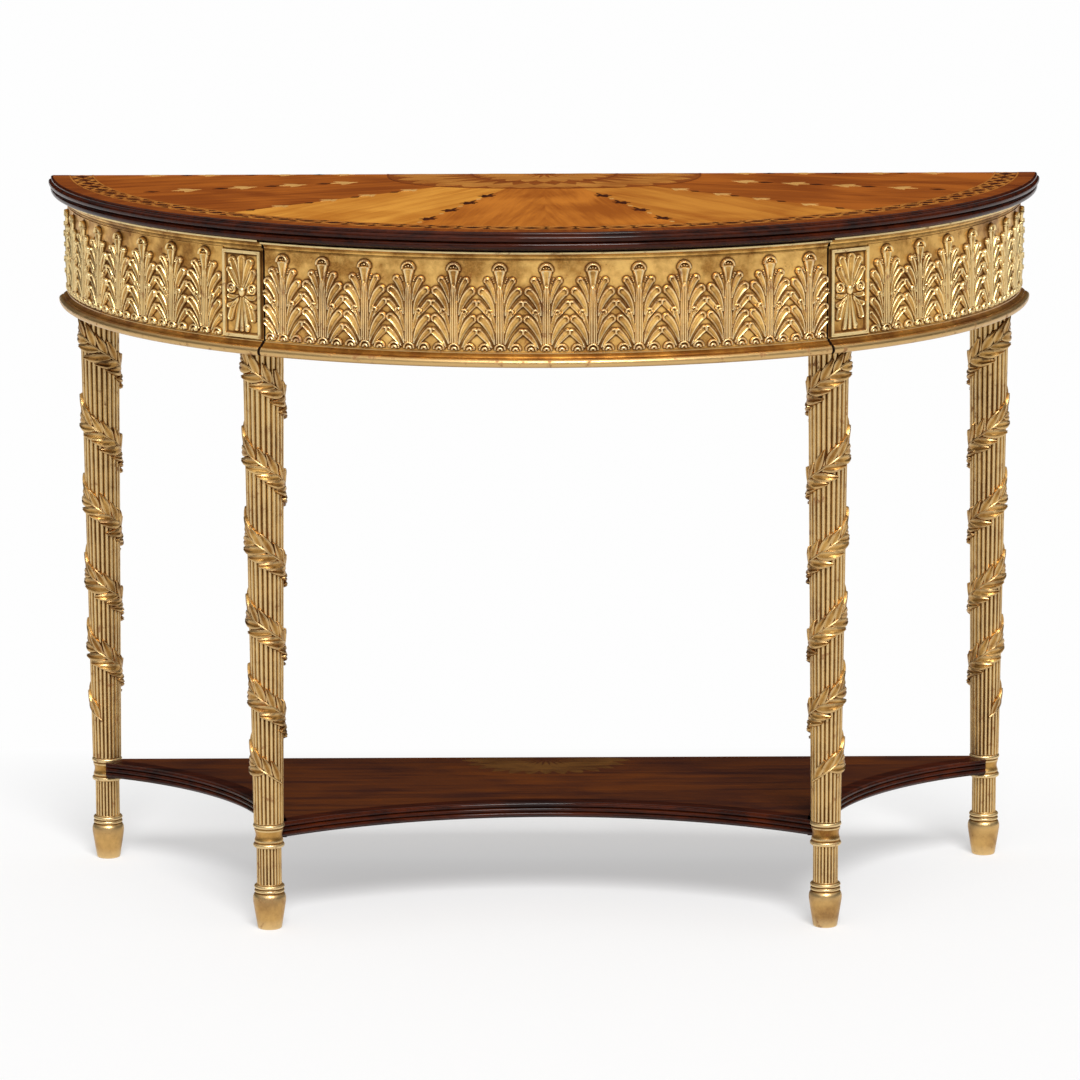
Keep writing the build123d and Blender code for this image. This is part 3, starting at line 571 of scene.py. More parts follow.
def add_grain(tree, place, light, dark, scale, figure, pores):
    """What the grain group puts out for its own values."""
    sockets = {"Place": place, "Light": opaque(light), "Dark": opaque(dark)}
    sockets.update({"Scale": scale, "Figure": figure, "Pores": pores})
    group = bpy.data.node_groups["Wood Grain"]
    return add_node(tree, "ShaderNodeGroup", sockets, node_tree=group).outputs


def wood(name, light, dark, scale, figure, pores, polish=0.0, rough=0.5, along=None):
    """A wooden finish; along names the attribute that holds the way of the grain."""
    tree, shader = new_material(name)
    place = mesh_value(tree, along, "Vector") if along else object_place(tree)
    grain = add_grain(tree, place, light, dark, scale, figure, pores)
    sockets = {
        "Base Color": grain["Color"],
        "Roughness": spread(tree, grain["Height"], 0.2, 0.8, rough * 0.9, rough * 1.15),
        "Coat Weight": polish,
        "Coat Roughness": 0.08,
        "Specular IOR Level": 0.05 if polish else 0.5,
    }
    fill(tree, shader, sockets)
    relief(tree, shader, grain["Height"], 0.00015 if polish else 0.0004)


def make_gildings():
    """Every gilded finish on the table."""
    # The drawer's leaves get a lighter copy of the carved gold: painted light on the front of the
    # frieze.
    gild("drawer_gilding_lit", (1.24, 1.22, 1.10))
    gild("carved_gilding", (1.08, 1.02, 0.86))
    gild("leg_gilding", (0.76, 0.69, 0.58), rub=0.9)
    gild("bead_gilding", (0.57, 0.41, 0.21), rub=0.8)
    gild("cornice_gilding", (1.08, 1.04, 0.86), wax_and_shade=0.7, rub=0.6)
    gild("frieze_gilding", (1.16, 1.12, 0.98), wax_and_shade=0.6, back=face_radius)


def make_woods():
    """Every wooden finish on the table: light and dark grain, scale, figure and pores."""
    light, dark = colours().mahogany_light, colours().mahogany_dark
    wood("mahogany", (0.076, 0.012, 0.002), [c * 0.6 for c in dark], 1.2, 0.5, 0.3, 0.26, 0.3)
    wood("shelf_mahogany", light, [c * 1.6 for c in dark], 1.0, 0.45, 0.3, 0.05, 0.36)
    light, dark = colours().satinwood_light, colours().satinwood_dark
    for name, *grain in (
        ("lip_banding", (0.34, 0.085, 0.010), (0.16, 0.032, 0.005), 1.5, 0.6, 0.3),
        ("border_ground", (0.28, 0.070, 0.010), (0.13, 0.028, 0.005), 1.5, 0.6, 0.3),
        ("satinwood", light, dark, 1.0, 0.8, 0.2),
        ("honey_light", (0.80, 0.35, 0.05), (0.56, 0.19, 0.02), 1.0, 0.8, 0.2),
        ("honey_dark", (0.66, 0.26, 0.035), (0.44, 0.13, 0.014), 1.0, 0.8, 0.2),
        ("amber_satinwood", (0.44, 0.118, 0.012), (0.25, 0.055, 0.006), 1.0, 0.9, 0.2),
    ):
        wood(name, *grain, 0.02, 0.34, "grain")
    for name, *grain in (
        ("pale_inlay", (0.80, 0.46, 0.15), (0.55, 0.26, 0.06), 3.0, 0.4, 0.2),
        ("petal_inlay", (0.60, 0.25, 0.045), (0.36, 0.11, 0.016), 3.0, 0.5, 0.2),
        ("dark_inlay", (0.075, 0.014, 0.004), (0.03, 0.006, 0.002), 3.0, 0.4, 0.2),
        ("amber_inlay", (0.34, 0.09, 0.012), (0.20, 0.045, 0.006), 3.0, 0.4, 0.2),
        ("shaded_inlay", (0.26, 0.062, 0.009), (0.14, 0.03, 0.005), 3.0, 0.4, 0.2),
    ):
        wood(name, *grain, 0.02, 0.34)
    wood("fan_inlay", (0.22, 0.095, 0.02), (0.09, 0.03, 0.008), 3.0, 0.5, 0.2, 0.5, 0.3)
    wood("oak", (0.52, 0.33, 0.16), (0.30, 0.17, 0.07), 1.0, 0.4, 0.6, rough=0.55)
    wood("pine", BARE_LIGHT, BARE_DARK, 1.0, 0.3, 0.4, rough=0.6)
    wood("beech", (0.62, 0.43, 0.25), (0.45, 0.28, 0.15), 2.0, 0.3, 0.4, rough=0.55)


def make_steel():
    """Zinc-plated screws with a little grime."""
    tree, shader = new_material("screw_steel")
    grime = noise(tree, object_place(tree), 600.0, 4.0, 0.6)
    dirt = spread(tree, grime, 0.4, 0.65)
    sockets = {
        "Base Color": blend(tree, dirt, (0.55, 0.54, 0.5, 1), (0.2, 0.18, 0.15, 1)),
        "Roughness": spread(tree, grime, 0.3, 0.7, 0.3, 0.55),
        "Metallic": 1.0,
    }
    fill(tree, shader, sockets)
    relief(tree, shader, grime, 0.0001)


# ---------------------------------------------------------------- veneered top
border_outer = panel_radius - 0.0015
border_inner = bow_radius - 0.058
PATERA_WIDE, PATERA_DEEP, PATERA_POWER = 0.201, 0.156, 2.6  # half axes of its full-cornered oval
PATERA_HUB = 0.014
PATERA_RING = (0.0915, 0.0945)  # between its inner and outer petals
EYE_LENGTH = 0.035  # of the border's interlaced band, from one crossing to the next
STRAND_WIDTH = 0.0052


def fan_reach(angle, radius):
    """Distance from the middle of the back edge to a circle about the bow's axis."""
    lift = axis_y - back_y
    across = lift * math.sin(angle)
    return math.sqrt(across**2 + radius**2 - lift**2) - across


def fan(angle, distance):
    """Plan place at an angle from the back edge, seen from its middle."""
    return (distance * math.cos(angle), back_y - distance * math.sin(angle))


def keep_grain(mesh, turn_of):
    """Keep grain coordinates: X runs along the grain that turn_of gives for a place."""
    attribute = mesh.attributes.new("grain", "FLOAT_VECTOR", "POINT")
    values = []
    for vertex in mesh.vertices:
        values += turn_of(vertex.co)
    attribute.data.foreach_set("vector", values)


def straight_grain(angle, shift):
    """Grain that runs one way all over a piece."""
    c, s = math.cos(angle), math.sin(angle)
    return lambda p: (p.x * c - p.y * s + shift, p.x * s + p.y * c + shift, p.z)


def bow_grain(p):
    """Grain that runs across the banding, towards the bow's axis."""
    angle = math.atan2(p.x, axis_y - p.y)
    return (math.hypot(p.x, axis_y - p.y), angle * bow_radius, p.z)


def sector(start, end, inner, outer_radius):
    """Outline of one sector of the field."""
    count = max(2, round((end - start) / math.radians(1.5)))
    outward = [start + (end - start) * i / count for i in range(count + 1)]
    inward = [end + (start - end) * i / count for i in range(count + 1)]
    outline = [fan(angle, fan_reach(angle, outer_radius)) for angle in outward]
    return outline + [fan(angle, inner) for angle in inward]


def half_ring(inner, outer, count=60):
    """Outline of a half ring about the middle of the back edge, or of a half disc."""
    angles = [math.pi * i / count for i in range(count + 1)]
    outline = [fan(angle, outer) for angle in angles]
    return outline + ([fan(angle, inner) for angle in reversed(angles)] if inner else [fan(0, 0)])


def turned(outline, place, turn):
    """An outline turned and moved to a place."""
    c, s = math.cos(turn), math.sin(turn)
    return [(place[0] + x * c - y * s, place[1] + x * s + y * c) for x, y in outline]


def petal(place, turn, length, width, shape=0.5, count=10):
    """Outline of a leaf or petal that starts at a place and points along turn."""
    sides = []
    for side in (1, -1):
        row = []
        for i in range(count + 1):
            share = i / count
            half = width / 2 * math.sin(math.pi * share**shape) ** 0.8
            row.append((length * share, side * half))
        sides.append(row)
    return turned(sides[0] + list(reversed(sides[1][1:-1])), place, turn)


def lozenge(place, turn, length, width):
    """Outline of a lozenge."""
    corners = ((length / 2, 0), (0, width / 2), (-length / 2, 0), (0, -width / 2))
    return turned(corners, place, turn)


def inlay(name, outlines, material, low, high):
    """Inlaid veneers of one wood as one piece."""
    layers = [slab(row, low, high - 0.00003 * (i % 3)) for i, row in enumerate(outlines)]
    points, faces = gather(layers)
    points = [(x, min(y, back_y), z) for x, y, z in points]
    return make_piece(name, points, faces, material, smooth=False)


# Chains of the field: angle from the back edge, size, reaches of the pale husks and dark seeds.
CHAINS = (
    (19.7, 0.027, (0.264, 0.331, 0.397, 0.470), (0.296, 0.364, 0.432, 0.522)),
    (45.0, 0.020, (0.234, 0.306, 0.372, 0.453), (0.265, 0.333, 0.411, 0.508)),
    (1.0, 0.020, (0.252, 0.327, 0.423, 0.492), (0.288, 0.374, 0.457)),
)
# Clusters: their angle and reaches, length and width of stalk and bud, and turn and length of
# each leaf.
CLUSTER_ANGLE = 72.5
CLUSTER_REACHES = (0.238, 0.310, 0.384, 0.468)
CLUSTER_STALK, CLUSTER_BUD, CLUSTER_BUD_GAP = (0.026, 0.004), (0.012, 0.006), 0.03
CLUSTER_LEAVES = ((0, 0.018), (0.9, 0.013), (-0.9, 0.013), (2.3, 0.012), (-2.3, 0.012))


def husk(angle, distance, size):
    """Three small petals on a stalk: a husk of the chains."""
    outward = -angle
    place = fan(angle, distance)
    outlines = []
    for turn, share in ((-0.9, 0.8), (0.0, 1.0), (0.9, 0.8)):
        outlines.append(petal(place, outward + turn, size * share, size * 0.5))
    outlines.append(petal(place, outward + math.pi, size * 0.5, size * 0.3))
    return outlines


def patera_reach(angle):
    """Distance of the rim of the half patera from the middle of the back edge."""
    across = abs(math.cos(angle)) / PATERA_WIDE
    down = math.sin(angle) / PATERA_DEEP
    return (across**PATERA_POWER + down**PATERA_POWER) ** (-1 / PATERA_POWER)


def wavy_band(middle, swing, width, pitch, count, low, high, fine=10):
    """Flat strand that swings about a circle of the bow and crosses it once in each pitch."""
    points, last = [], count * fine
    for i in range(last + 1):
        angle = (i / last - 0.5) * count * pitch
        centre = middle + swing * math.sin(math.pi * i / fine)
        for side, z in ((-1, low), (1, low), (1, high), (-1, high)):
            points.append(bow(angle, centre + side * width / 2, z))
    return points, ring_faces(last + 1, 4)


def band_ring(inner, outer, low, high, step=0.008):
    """Flat band that follows the bow."""
    return bow_sweep([(inner, low), (outer, low), (outer, high), (inner, high)], step=step)


class DEMILUNE_OT_veneered_top(bpy.types.Operator):
    """Lay the veneered field, its banding and its inlay, and run the two edge mouldings"""

    bl_idname = "demilune.veneered_top"
    bl_label = "Veneered top"

    def execute(self, context):
        veneer = sizes().veneer
        field_z = top_z - veneer
        ground_z = field_z - veneer
        angles = [math.pi * i / 120 for i in range(121)]
        outline = [fan(angle, fan_reach(angle, panel_radius)) for angle in angles]
        ground = inlay("top_ground", [outline], "pine", panel_low.z, ground_z)
        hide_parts("top_panel")
        self.lay_field(ground_z, field_z)
        self.lay_border(ground_z, field_z)
        self.lay_patera(field_z)
        self.lay_chains(field_z)
        self.run_mouldings()
        return {"FINISHED"}

    def lay_field(self, low, high):
        """Sectors of veneer, laid as mirrored pairs."""
        cuts = (0.0, 45.0, CLUSTER_ANGLE, 90.0)
        under_patera = 0.145
        for side, honey in (("right", "honey_dark"), ("left", "honey_light")):
            tones = ("amber_satinwood", honey, "satinwood")
            for index, (start, end) in enumerate(zip(cuts, cuts[1:])):
                first, last = math.radians(start), math.radians(end)
                if side == "left":
                    first, last = math.pi - last, math.pi - first
                outline = sector(first, last, under_patera, border_inner)
                piece = inlay(f"veneer_{side}_{index}", [outline], tones[index], low, high)
                keep_grain(piece.data, straight_grain((first + last) / 2, 0.7 * index))

    def lay_border(self, low, high):
        """Interlaced band with a seed in each eye and beside each crossing, and its strings."""
        ground = band_ring(border_inner, panel_radius, low, high)
        field = make_piece("top_border", *ground, "border_ground", smooth=False)
        keep_grain(field.data, bow_grain)
        strings = [
            band_ring(radius - 0.001, radius + 0.001, high, top_z)
            for radius in (border_inner + 0.001, border_outer)
        ]
        middle = (border_inner + border_outer) / 2
        swing = (border_outer - border_inner) / 2 - 0.004
        span = back_angle(border_inner)
        count = round(2 * span * middle / EYE_LENGTH)
        pitch = 2 * span / count
        strands = [
            wavy_band(middle, side * swing, STRAND_WIDTH, pitch, count, high, top_z)
            for side in (-1, 1)
        ]
        bands = gather(strands + strings)
        strand = make_piece("border_strands", *bands, "petal_inlay", smooth=False)
        eye_seed, edge_seed, edge_share = (0.0170, 0.0150), (0.009, 0.011), 0.72
        seeds = []
        for i in range(count):
            angle = -span + (i + 0.5) * pitch
            seeds.append(lozenge(bow(angle, middle, 0)[:2], angle, *eye_seed))
            if i:
                for side in (-1, 1):
                    place = bow(angle - pitch / 2, middle + side * swing * edge_share, 0)[:2]
                    seeds.append(lozenge(place, angle - pitch / 2, *edge_seed))
        seed = inlay("border_seeds", seeds, "dark_inlay", high, top_z)

    def lay_patera(self, high):
        """Half patera of two rings of petals at the middle of the back."""
        outer_count, outer_foot, outer_trim, outer_width = 15, 0.098, 0.105, 0.034
        inner_count, inner_foot, inner_length, inner_width = 11, 0.016, 0.074, 0.020
        petals, inner = [], []
        for i in range(outer_count):
            angle = math.pi * (i + 0.5) / outer_count
            length = patera_reach(angle) - outer_trim
            petals.append(petal(fan(angle, outer_foot), -angle, length, outer_width, 1.7))
        for i in range(inner_count):
            angle = math.pi * (i + 0.5) / inner_count
            inner.append(petal(fan(angle, inner_foot), -angle, inner_length, inner_width, 1.8))
        angles = [math.pi * i / 60 for i in range(61)]
        ground = [fan(a, patera_reach(a)) for a in angles]
        rim = ground + [fan(a, patera_reach(a) - 0.0025) for a in reversed(angles)]
        shades = [rim, half_ring(*PATERA_RING), half_ring(0.0, PATERA_HUB)]
        pieces = (
            inlay("patera_ground", [ground], "amber_inlay", high - 0.0003, high + 0.0001),
            inlay("patera_petals", petals, "petal_inlay", high, top_z),
            inlay("patera_fan", inner, "petal_inlay", high, top_z),
            inlay("patera_shades", shades, "shaded_inlay", high, top_z),
        )

    def lay_chains(self, high):
        """Chains of husks and seeds, and the dark clusters of the middle sectors."""
        pale, dark = [], []
        for side in (0, 1):
            for degrees, size, husk_reaches, seed_reaches in CHAINS:
                angle = math.radians(degrees)
                angle = math.pi - angle if side else angle
                for distance in husk_reaches:
                    pale += husk(angle, distance, size)
                for distance in seed_reaches:
                    dark.append(lozenge(fan(angle, distance), -angle, size * 0.8, size * 0.5))
            base = math.radians(CLUSTER_ANGLE)
            base = math.pi - base if side else base
            for distance in CLUSTER_REACHES:
                place = fan(base, distance)
                for turn, length in CLUSTER_LEAVES:
                    dark.append(petal(place, -base + turn, length, length * 0.5, 0.9))
                dark.append(petal(place, -base + math.pi, *CLUSTER_STALK, 1.0))
                place = fan(base, distance + CLUSTER_BUD_GAP)
                pale.append(petal(place, -base, *CLUSTER_BUD, 0.8))
        husks = inlay("husks", pale, "pale_inlay", high, top_z)
        seeds = inlay("seeds", dark, "dark_inlay", high, top_z)

    def run_mouldings(self):
        """The reeded edge of the top, its banding and the moulding under it."""
        flat_z = top_z - sizes().veneer
        lip = bow_radius - 0.0058
        section = [
            (panel_radius, edge_low.z),
            (panel_radius, flat_z),
            *arc((lip, flat_z - 0.0027), 0.0027, 90, -25, 9),
            (lip + 0.0021, flat_z - 0.0043),
            *arc((bow_radius - 0.0042, edge_low.z + 0.0042), 0.0042, 72, -90, 12),
        ]
        edge = make_piece("edge_nose", *bow_sweep(section), "mahogany")
        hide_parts("top_edge_moulding")
        band = band_ring(panel_radius, lip, flat_z, top_z)
        banding = make_piece("lip_banding", *band, "lip_banding", smooth=False)
        keep_grain(banding.data, bow_grain)
        lobe = bow_radius - 0.0073
        foot = face_radius + 0.0138
        inside = bow_radius - 0.076
        section = [
            (inside, under_low.z),
            (inside, under_high.z),
            (lobe, under_high.z),
            *arc((lobe, under_high.z - 0.0049), 0.0047, 88, -62, 13),
            (lobe + 0.0004, under_high.z - 0.0092),
            (foot - 0.0008, under_high.z - 0.0094),
            *arc((foot, under_low.z + 0.0009), 0.0008, 80, -80, 4),
        ]
        under = make_piece("edge_reeds", *bow_sweep(section), "mahogany")
        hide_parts("top_under_moulding")
        for piece in (edge, under):
            mark_hollows(piece.data)


# ---------------------------------------------------------------- gilt mouldings
def cornice_section(low, high):
    """Cavetto under the top with a small fillet at its foot."""
    foot = face_radius + 0.0026
    lip = face_radius + 0.012
    cove = []
    for i in range(9):
        angle = math.pi / 2 * i / 8
        out = foot + (lip - foot) * (1 - math.cos(angle))
        cove.append((out, low + 0.0026 + (high - low - 0.005) * math.sin(angle)))
    return [
        (face_radius, high),
        (face_radius, low),
        (foot - 0.0004, low),
        (foot, low + 0.0005),
        (foot, low + 0.002),
        (foot - 0.001, low + 0.0024),
        *cove,
        (lip, high - 0.0019),
        (lip, high - 0.0004),
        (lip - 0.0004, high),
    ]


def bead_section(low, high):
    """Torus at the foot of the frieze with a small dark cove above it."""
    crest = face_radius + 0.0139
    return [
        (face_radius, low),
        *arc((crest - 0.0054, low + 0.0054), 0.0054, -88, 64, 12),
        (crest - 0.0044, low + 0.0112),
        (crest - 0.0060, low + 0.0115),
        (crest - 0.0066, low + 0.0130),
        (crest - 0.0088, low + 0.0145),
        (crest - 0.0104, low + 0.0156),
        (crest - 0.0104, high - 0.0003),
        (face_radius, high),
    ]


class DEMILUNE_OT_gilt_mouldings(bpy.types.Operator):
    """Run the cornice and the bead round the frieze"""

    bl_idname = "demilune.gilt_mouldings"
    bl_label = "Gilt mouldings"

    def execute(self, context):
        for kind, section_of in (("cornice", cornice_section), ("bead", bead_section)):
            for run, body, start, end in (
                ("drawer", "drawer", JOINT_GAP - drawer_angle, drawer_angle - JOINT_GAP),
                ("side", "table", pier_start + JOINT_GAP, None),
            ):
                node = f"drawer_{kind}" if run == "drawer" else f"side_{kind}_right"
                low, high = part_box(node)
                points, faces = bow_sweep(section_of(low.z, high.z), start, end, 0.008)
                names = [node] if run == "drawer" else [node, f"side_{kind}_left"]
                for name in names:
                    side = 1 if name == node else -1
                    placed = [(side * x, y, z) for x, y, z in points]
                    piece = make_piece(f"gilt_{name}", placed, faces, f"{kind}_gilding", body)
                    # Hollows of the mouldings darken with wax and painted shade; their crests
                    # brighten with painted highlight.
                    mark_hollows(piece.data, 5.0, 1)
                    # The cove over the bead and the fillet at the cornice's foot are darkened as
                    # painted shade.
                    if kind == "bead":
                        paint_shade_band(piece.data, low.z + 0.0108, high.z - 0.001, 0.3)
                    else:
                        paint_shade_band(piece.data, low.z - 0.001, low.z + 0.003, 0.5)
                    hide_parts(name)
        return {"FINISHED"}


# ---------------------------------------------------------------- carved reliefs
CARVING_GROUND = 0.0015  # the ground of a carving stands this far out of the frieze


def dome(far):
    """Round height over a share of the half-width."""
    return np.sqrt(np.clip(1 - far**2, 0, 1))


class Relief:
    """Height map of a carving, over places across and up in millimetres."""

    def __init__(self, across, up):
        self.x, self.y = np.meshgrid(across, up)
        self.height = np.zeros_like(self.x)

    def raise_to(self, height):
        """Carve nothing away that already stands higher."""
        self.height = np.maximum(self.height, height)

    def far(self, centre):
        """Distance of each place from a centre."""
        return np.hypot(self.x - centre[0], self.y - centre[1])

    def plate(self, centre, half_width, half_height, relief_height):
        """Low swelling ground under a group of lobes."""
        across, up = (self.x - centre[0]) / half_width, (self.y - centre[1]) / half_height
        self.raise_to(relief_height * np.clip(1.25 * (1 - (across**2 + up**2)), 0, 1))

    def follow(self, foot, bend, tip, width, foot_share):
        """Share of the half-width that each place lies from a curve, and how far along it."""
        best = np.full_like(self.x, 1e9)
        along = np.zeros_like(self.x)
        for share in np.linspace(0, 1, 24):
            weights = ((1 - share) ** 2, 2 * share * (1 - share), share**2)
            place = [sum(w * p[i] for w, p in zip(weights, (foot, bend, tip))) for i in (0, 1)]
            swell = math.sin(math.pi / 2 * min(1, share * 1.15))
            far = self.far(place) / (width * (foot_share + (1 - foot_share) * swell))
            nearer = far < best
            best = np.where(nearer, far, best)
            along = np.where(nearer, share, along)
        return best, along

    def lobe(self, foot, bend, tip, width, relief_height):
        """Tapering rounded lobe along a curve, veined at its foot and thickest at its tip."""
        best, along = self.follow(foot, bend, tip, width, 0.45)
        rise = relief_height * (0.42 + 0.58 * along**1.3)
        vein = 0.25 * np.exp(-((best / 0.28) ** 2)) * np.clip(1.6 - 1.6 * along, 0, 1)
        self.raise_to(rise * (dome(best) - vein))

    def scoop(self, foot, bend, tip, width, relief_height):
        """Hollowed lobe along a curve, with a thin raised rim that rolls over its round tip."""
        best, along = self.follow(foot, bend, tip, width, 0.25)
        rise = relief_height * (0.62 + 0.38 * along**1.4)
        wall = np.sqrt(np.clip((1 - best) / 0.26, 0, 1))
        dish = 0.5 * np.clip(1.2 - (best / 0.74) ** 2, 0, 1) * np.clip(along * 3, 0, 1)
        self.raise_to(rise * wall * (1 - dish))

    def hoop(self, centre, start, radius, tube, relief_height):
        """Half ring that closes the end of a lobe which comes from start."""
        way = (centre[0] - start[0], centre[1] - start[1])
        ahead = (self.x - centre[0]) * way[0] + (self.y - centre[1]) * way[1]
        shown = ahead > -0.15 * radius * math.dist(centre, start)
        self.ring(centre, radius, tube, relief_height * shown)

    def ring(self, centre, radius, tube, relief_height):
        """Raised round ring."""
        self.raise_to(relief_height * dome((self.far(centre) - radius) / tube))

    def knob(self, centre, radius, relief_height):
        """Round pearl."""
        self.raise_to(relief_height * dome(self.far(centre) / radius))

    def hollows(self, step):
        """How deep each place lies below what is round it."""
        total = np.zeros_like(self.height)
        for reach, share in ((0.9, 0.65), (2.4, 0.35)):
            wide = self.height
            count = max(1, round(reach / step))
            shifts = range(-count, count + 1)
            for axis in (0, 0, 1, 1):
                wide = sum(np.roll(wide, i, axis) for i in shifts) / len(shifts)
            total += share * (wide - self.height) / (0.3 + 0.16 * reach)
        return np.clip(total, -1, 1)


# Lobes of the right half of a leaf in millimetres: foot, bend, tip, half-width, height.
# They are drawn for leaves that stand LEAF_WIDTH apart.
LEAF_LOBES = (
    ((5.4, 60.0), (8.2, 77.0), (15.0, 86.0), 3.9, 4.7),
    ((6.6, 45.0), (11.0, 65.0), (21.2, 73.0), 5.2, 4.8),
    ((10.5, 39.0), (17.0, 51.0), (25.0, 58.5), 3.9, 4.3),
    ((6.2, 10.0), (11.0, 31.0), (22.2, 40.0), 5.1, 4.6),
    ((9.8, 6.0), (16.8, 17.0), (25.0, 24.5), 3.9, 4.2),
    ((5.4, 24.0), (8.0, 40.0), (13.0, 48.6), 3.3, 3.9),
)
LEAF_WIDTH = 55.2
# Heights on the stalk, and its half-width at each.
STALK_OUTLINE = (8, 34, 60, 72, 80, 90, 97, 99), (5.6, 5.6, 5.0, 4.0, 3.2, 5.2, 7.4, 7.6)


def carve_leaf(work, middle, pitch, rng):
    """One acanthus leaf whose stalk stands over middle."""
    stretch_x = pitch / LEAF_WIDTH

    def at(place, side=1):
        sway = rng.uniform(-0.3, 0.3)
        return (middle + side * stretch_x * place[0] + sway, place[1] + rng.uniform(-0.3, 0.3))

    work.plate((middle, 27), 20.0, 20.0, 1.4)
    work.plate((middle, 63), 18.0, 22.0, 1.4)
    for start, bend, tip, width, relief_height in LEAF_LOBES:
        for side in (-1, 1):
            ends = [at(place, side) for place in (start, bend, tip)]
            work.scoop(*ends, width, relief_height)
            if width > 3:
                work.hoop(ends[2], ends[1], width * 0.74, 1.5, relief_height + 0.7)
    for side in (-1, 1):
        for i in range(3):
            work.knob(at((8.4 + 1.9 * i, 47.5 - 0.6 * i), side), 1.2, 3.0)
            work.knob(at((6.8 + 0.9 * i, 84.5 + 2.3 * i), side), 1.2, 3.0)
    across = (work.x - middle) / np.interp(work.y, *STALK_OUTLINE)
    reach = np.clip((work.y - 8) / 3, 0, 1) * np.clip((100.0 - work.y) / 2.0, 0, 1)
    tongue = np.clip((work.y - 77) / 5, 0, 1)
    ribs = -0.55 * np.cos(across * 4 * math.pi) * (1 - tongue)
    dish = -2.6 * np.clip(1 - (across / 0.72) ** 2, 0, 1) * tongue
    rise = 2.9 + 1.9 * np.clip((work.y - 70) / 22, 0, 1)
    round_top = rise * np.clip(1 - across**4, 0, 1) ** 0.6
    stalk = (round_top + ribs * (np.abs(across) < 0.92) + dish) * reach
    work.raise_to(np.where(np.abs(across) < 1, stalk, 0))
    work.hoop((middle, 98.6), (middle, 80.0), 7.4, 1.5, 5.4)
    for shift in (-3.3, 0.0, 3.3):
        work.knob((middle + shift, 101.6 - 0.2 * abs(shift)), 1.25, 2.6)
    for step in (-1, 0, 1):
        place = middle + step * pitch / 3
        work.hoop((place, 3.6), (place, 0.0), 6.0, 1.3, 3.6)
        work.hoop((place, 2.4), (place, 0.0), 2.6, 1.6, 3.0)


def band_points(work, angle_of):
    """Points of a relief bent round the bow, with a rim that drops to the ground."""
    angles = angle_of(work.x)
    radius = face_radius + CARVING_GROUND + work.height / 1000
    heights = carving_low.z + work.y / 1000
    points = np.stack([radius * np.sin(angles), axis_y - radius * np.cos(angles), heights], -1)
    rim = np.pad(points, ((1, 1), (1, 1), (0, 0)), mode="edge")
    angles = np.pad(angles, 1, mode="edge")
    edge = np.ones(angles.shape, bool)
    edge[1:-1, 1:-1] = False
    rim[..., 0] = np.where(edge, face_radius * np.sin(angles), rim[..., 0])
    rim[..., 1] = np.where(edge, axis_y - face_radius * np.cos(angles), rim[..., 1])
    return rim.reshape(-1, 3), sheet_faces(*angles.shape)


def sheet_faces(rows, columns):
    """Quads of a sheet of points, row by row."""
    first = (np.arange(rows - 1)[:, None] * columns + np.arange(columns - 1)).ravel()
    return np.stack([first, first + 1, first + columns + 1, first + columns], 1).tolist()


def make_relief(name, work, step, angle_of, body):
    """A carved piece from its height map."""
    points, faces = band_points(work, angle_of)
    # The drawer's leaves take the lighter copy of the gold, painted light.
    finish = "drawer_gilding_lit" if body == "drawer" else "carved_gilding"
    piece = make_piece(name, points.tolist(), faces, finish, body, outward=False)
    # The carvings' hollows darken with wax and painted shade, and their proud parts brighten with
    # painted highlight.
    store(piece.data, "hollow", np.pad(work.hollows(step), 1, mode="edge"))
    return piece


class DEMILUNE_OT_acanthus_bands(bpy.types.Operator):
    """Carve the bands of acanthus leaves on the drawer and on both sides"""

    bl_idname = "demilune.acanthus_bands"
    bl_label = "Acanthus bands"

    def execute(self, context):
        step = sizes().carving_step * 1000
        height = (carving_high.z - carving_low.z) * 1000
        up = np.linspace(0, height, round(height / step) + 1)
        count = sizes().drawer_leaves
        drawer_pitch = 2 * drawer_angle / count
        centres = [(i + 0.5) * 2 * drawer_angle / count - drawer_angle for i in range(count)]
        run = drawer_angle - JOINT_GAP
        end = back_angle(face_radius)
        pitch = sizes().side_leaf_pitch
        right = [pier_end + (i + 0.5) * pitch for i in range(sizes().side_leaves)]
        left = [-angle for angle in right]
        for name, node, body, start, last, places, spacing, seed in (
            ("acanthus_drawer", "drawer_carving", "drawer", -run, run, centres, drawer_pitch, 7),
            ("acanthus_right", "side_carving_right", "table", pier_end, end, right, pitch, 11),
            ("acanthus_left", "side_carving_left", "table", -end, -pier_end, left, pitch, 13),
        ):
            work, angle_of = self.carve_run(up, step, start, last, places, spacing, seed)
            piece = make_relief(name, work, step, angle_of, body)
            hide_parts(node)
        return {"FINISHED"}

    def carve_run(self, up, step, start, end, places, pitch_angle, seed):
        """Height map of one run of leaves, and how its width bends round the bow."""
        scale = face_radius * 1000
        width = (end - start) * scale
        pitch = pitch_angle * scale
        across = np.linspace(0, width, round(width / step) + 1)
        whole = Relief(across, up)
        rng = np.random.default_rng(seed)
        for place in places:
            middle = (place - start) * scale
            near = np.flatnonzero(np.abs(across - middle) < 0.6 * pitch)
            window = Relief(across[near], up)
            carve_leaf(window, middle, pitch, rng)
            part = whole.height[:, near]
            whole.height[:, near] = np.maximum(part, window.height)
        return whole, lambda x: start + x / scale


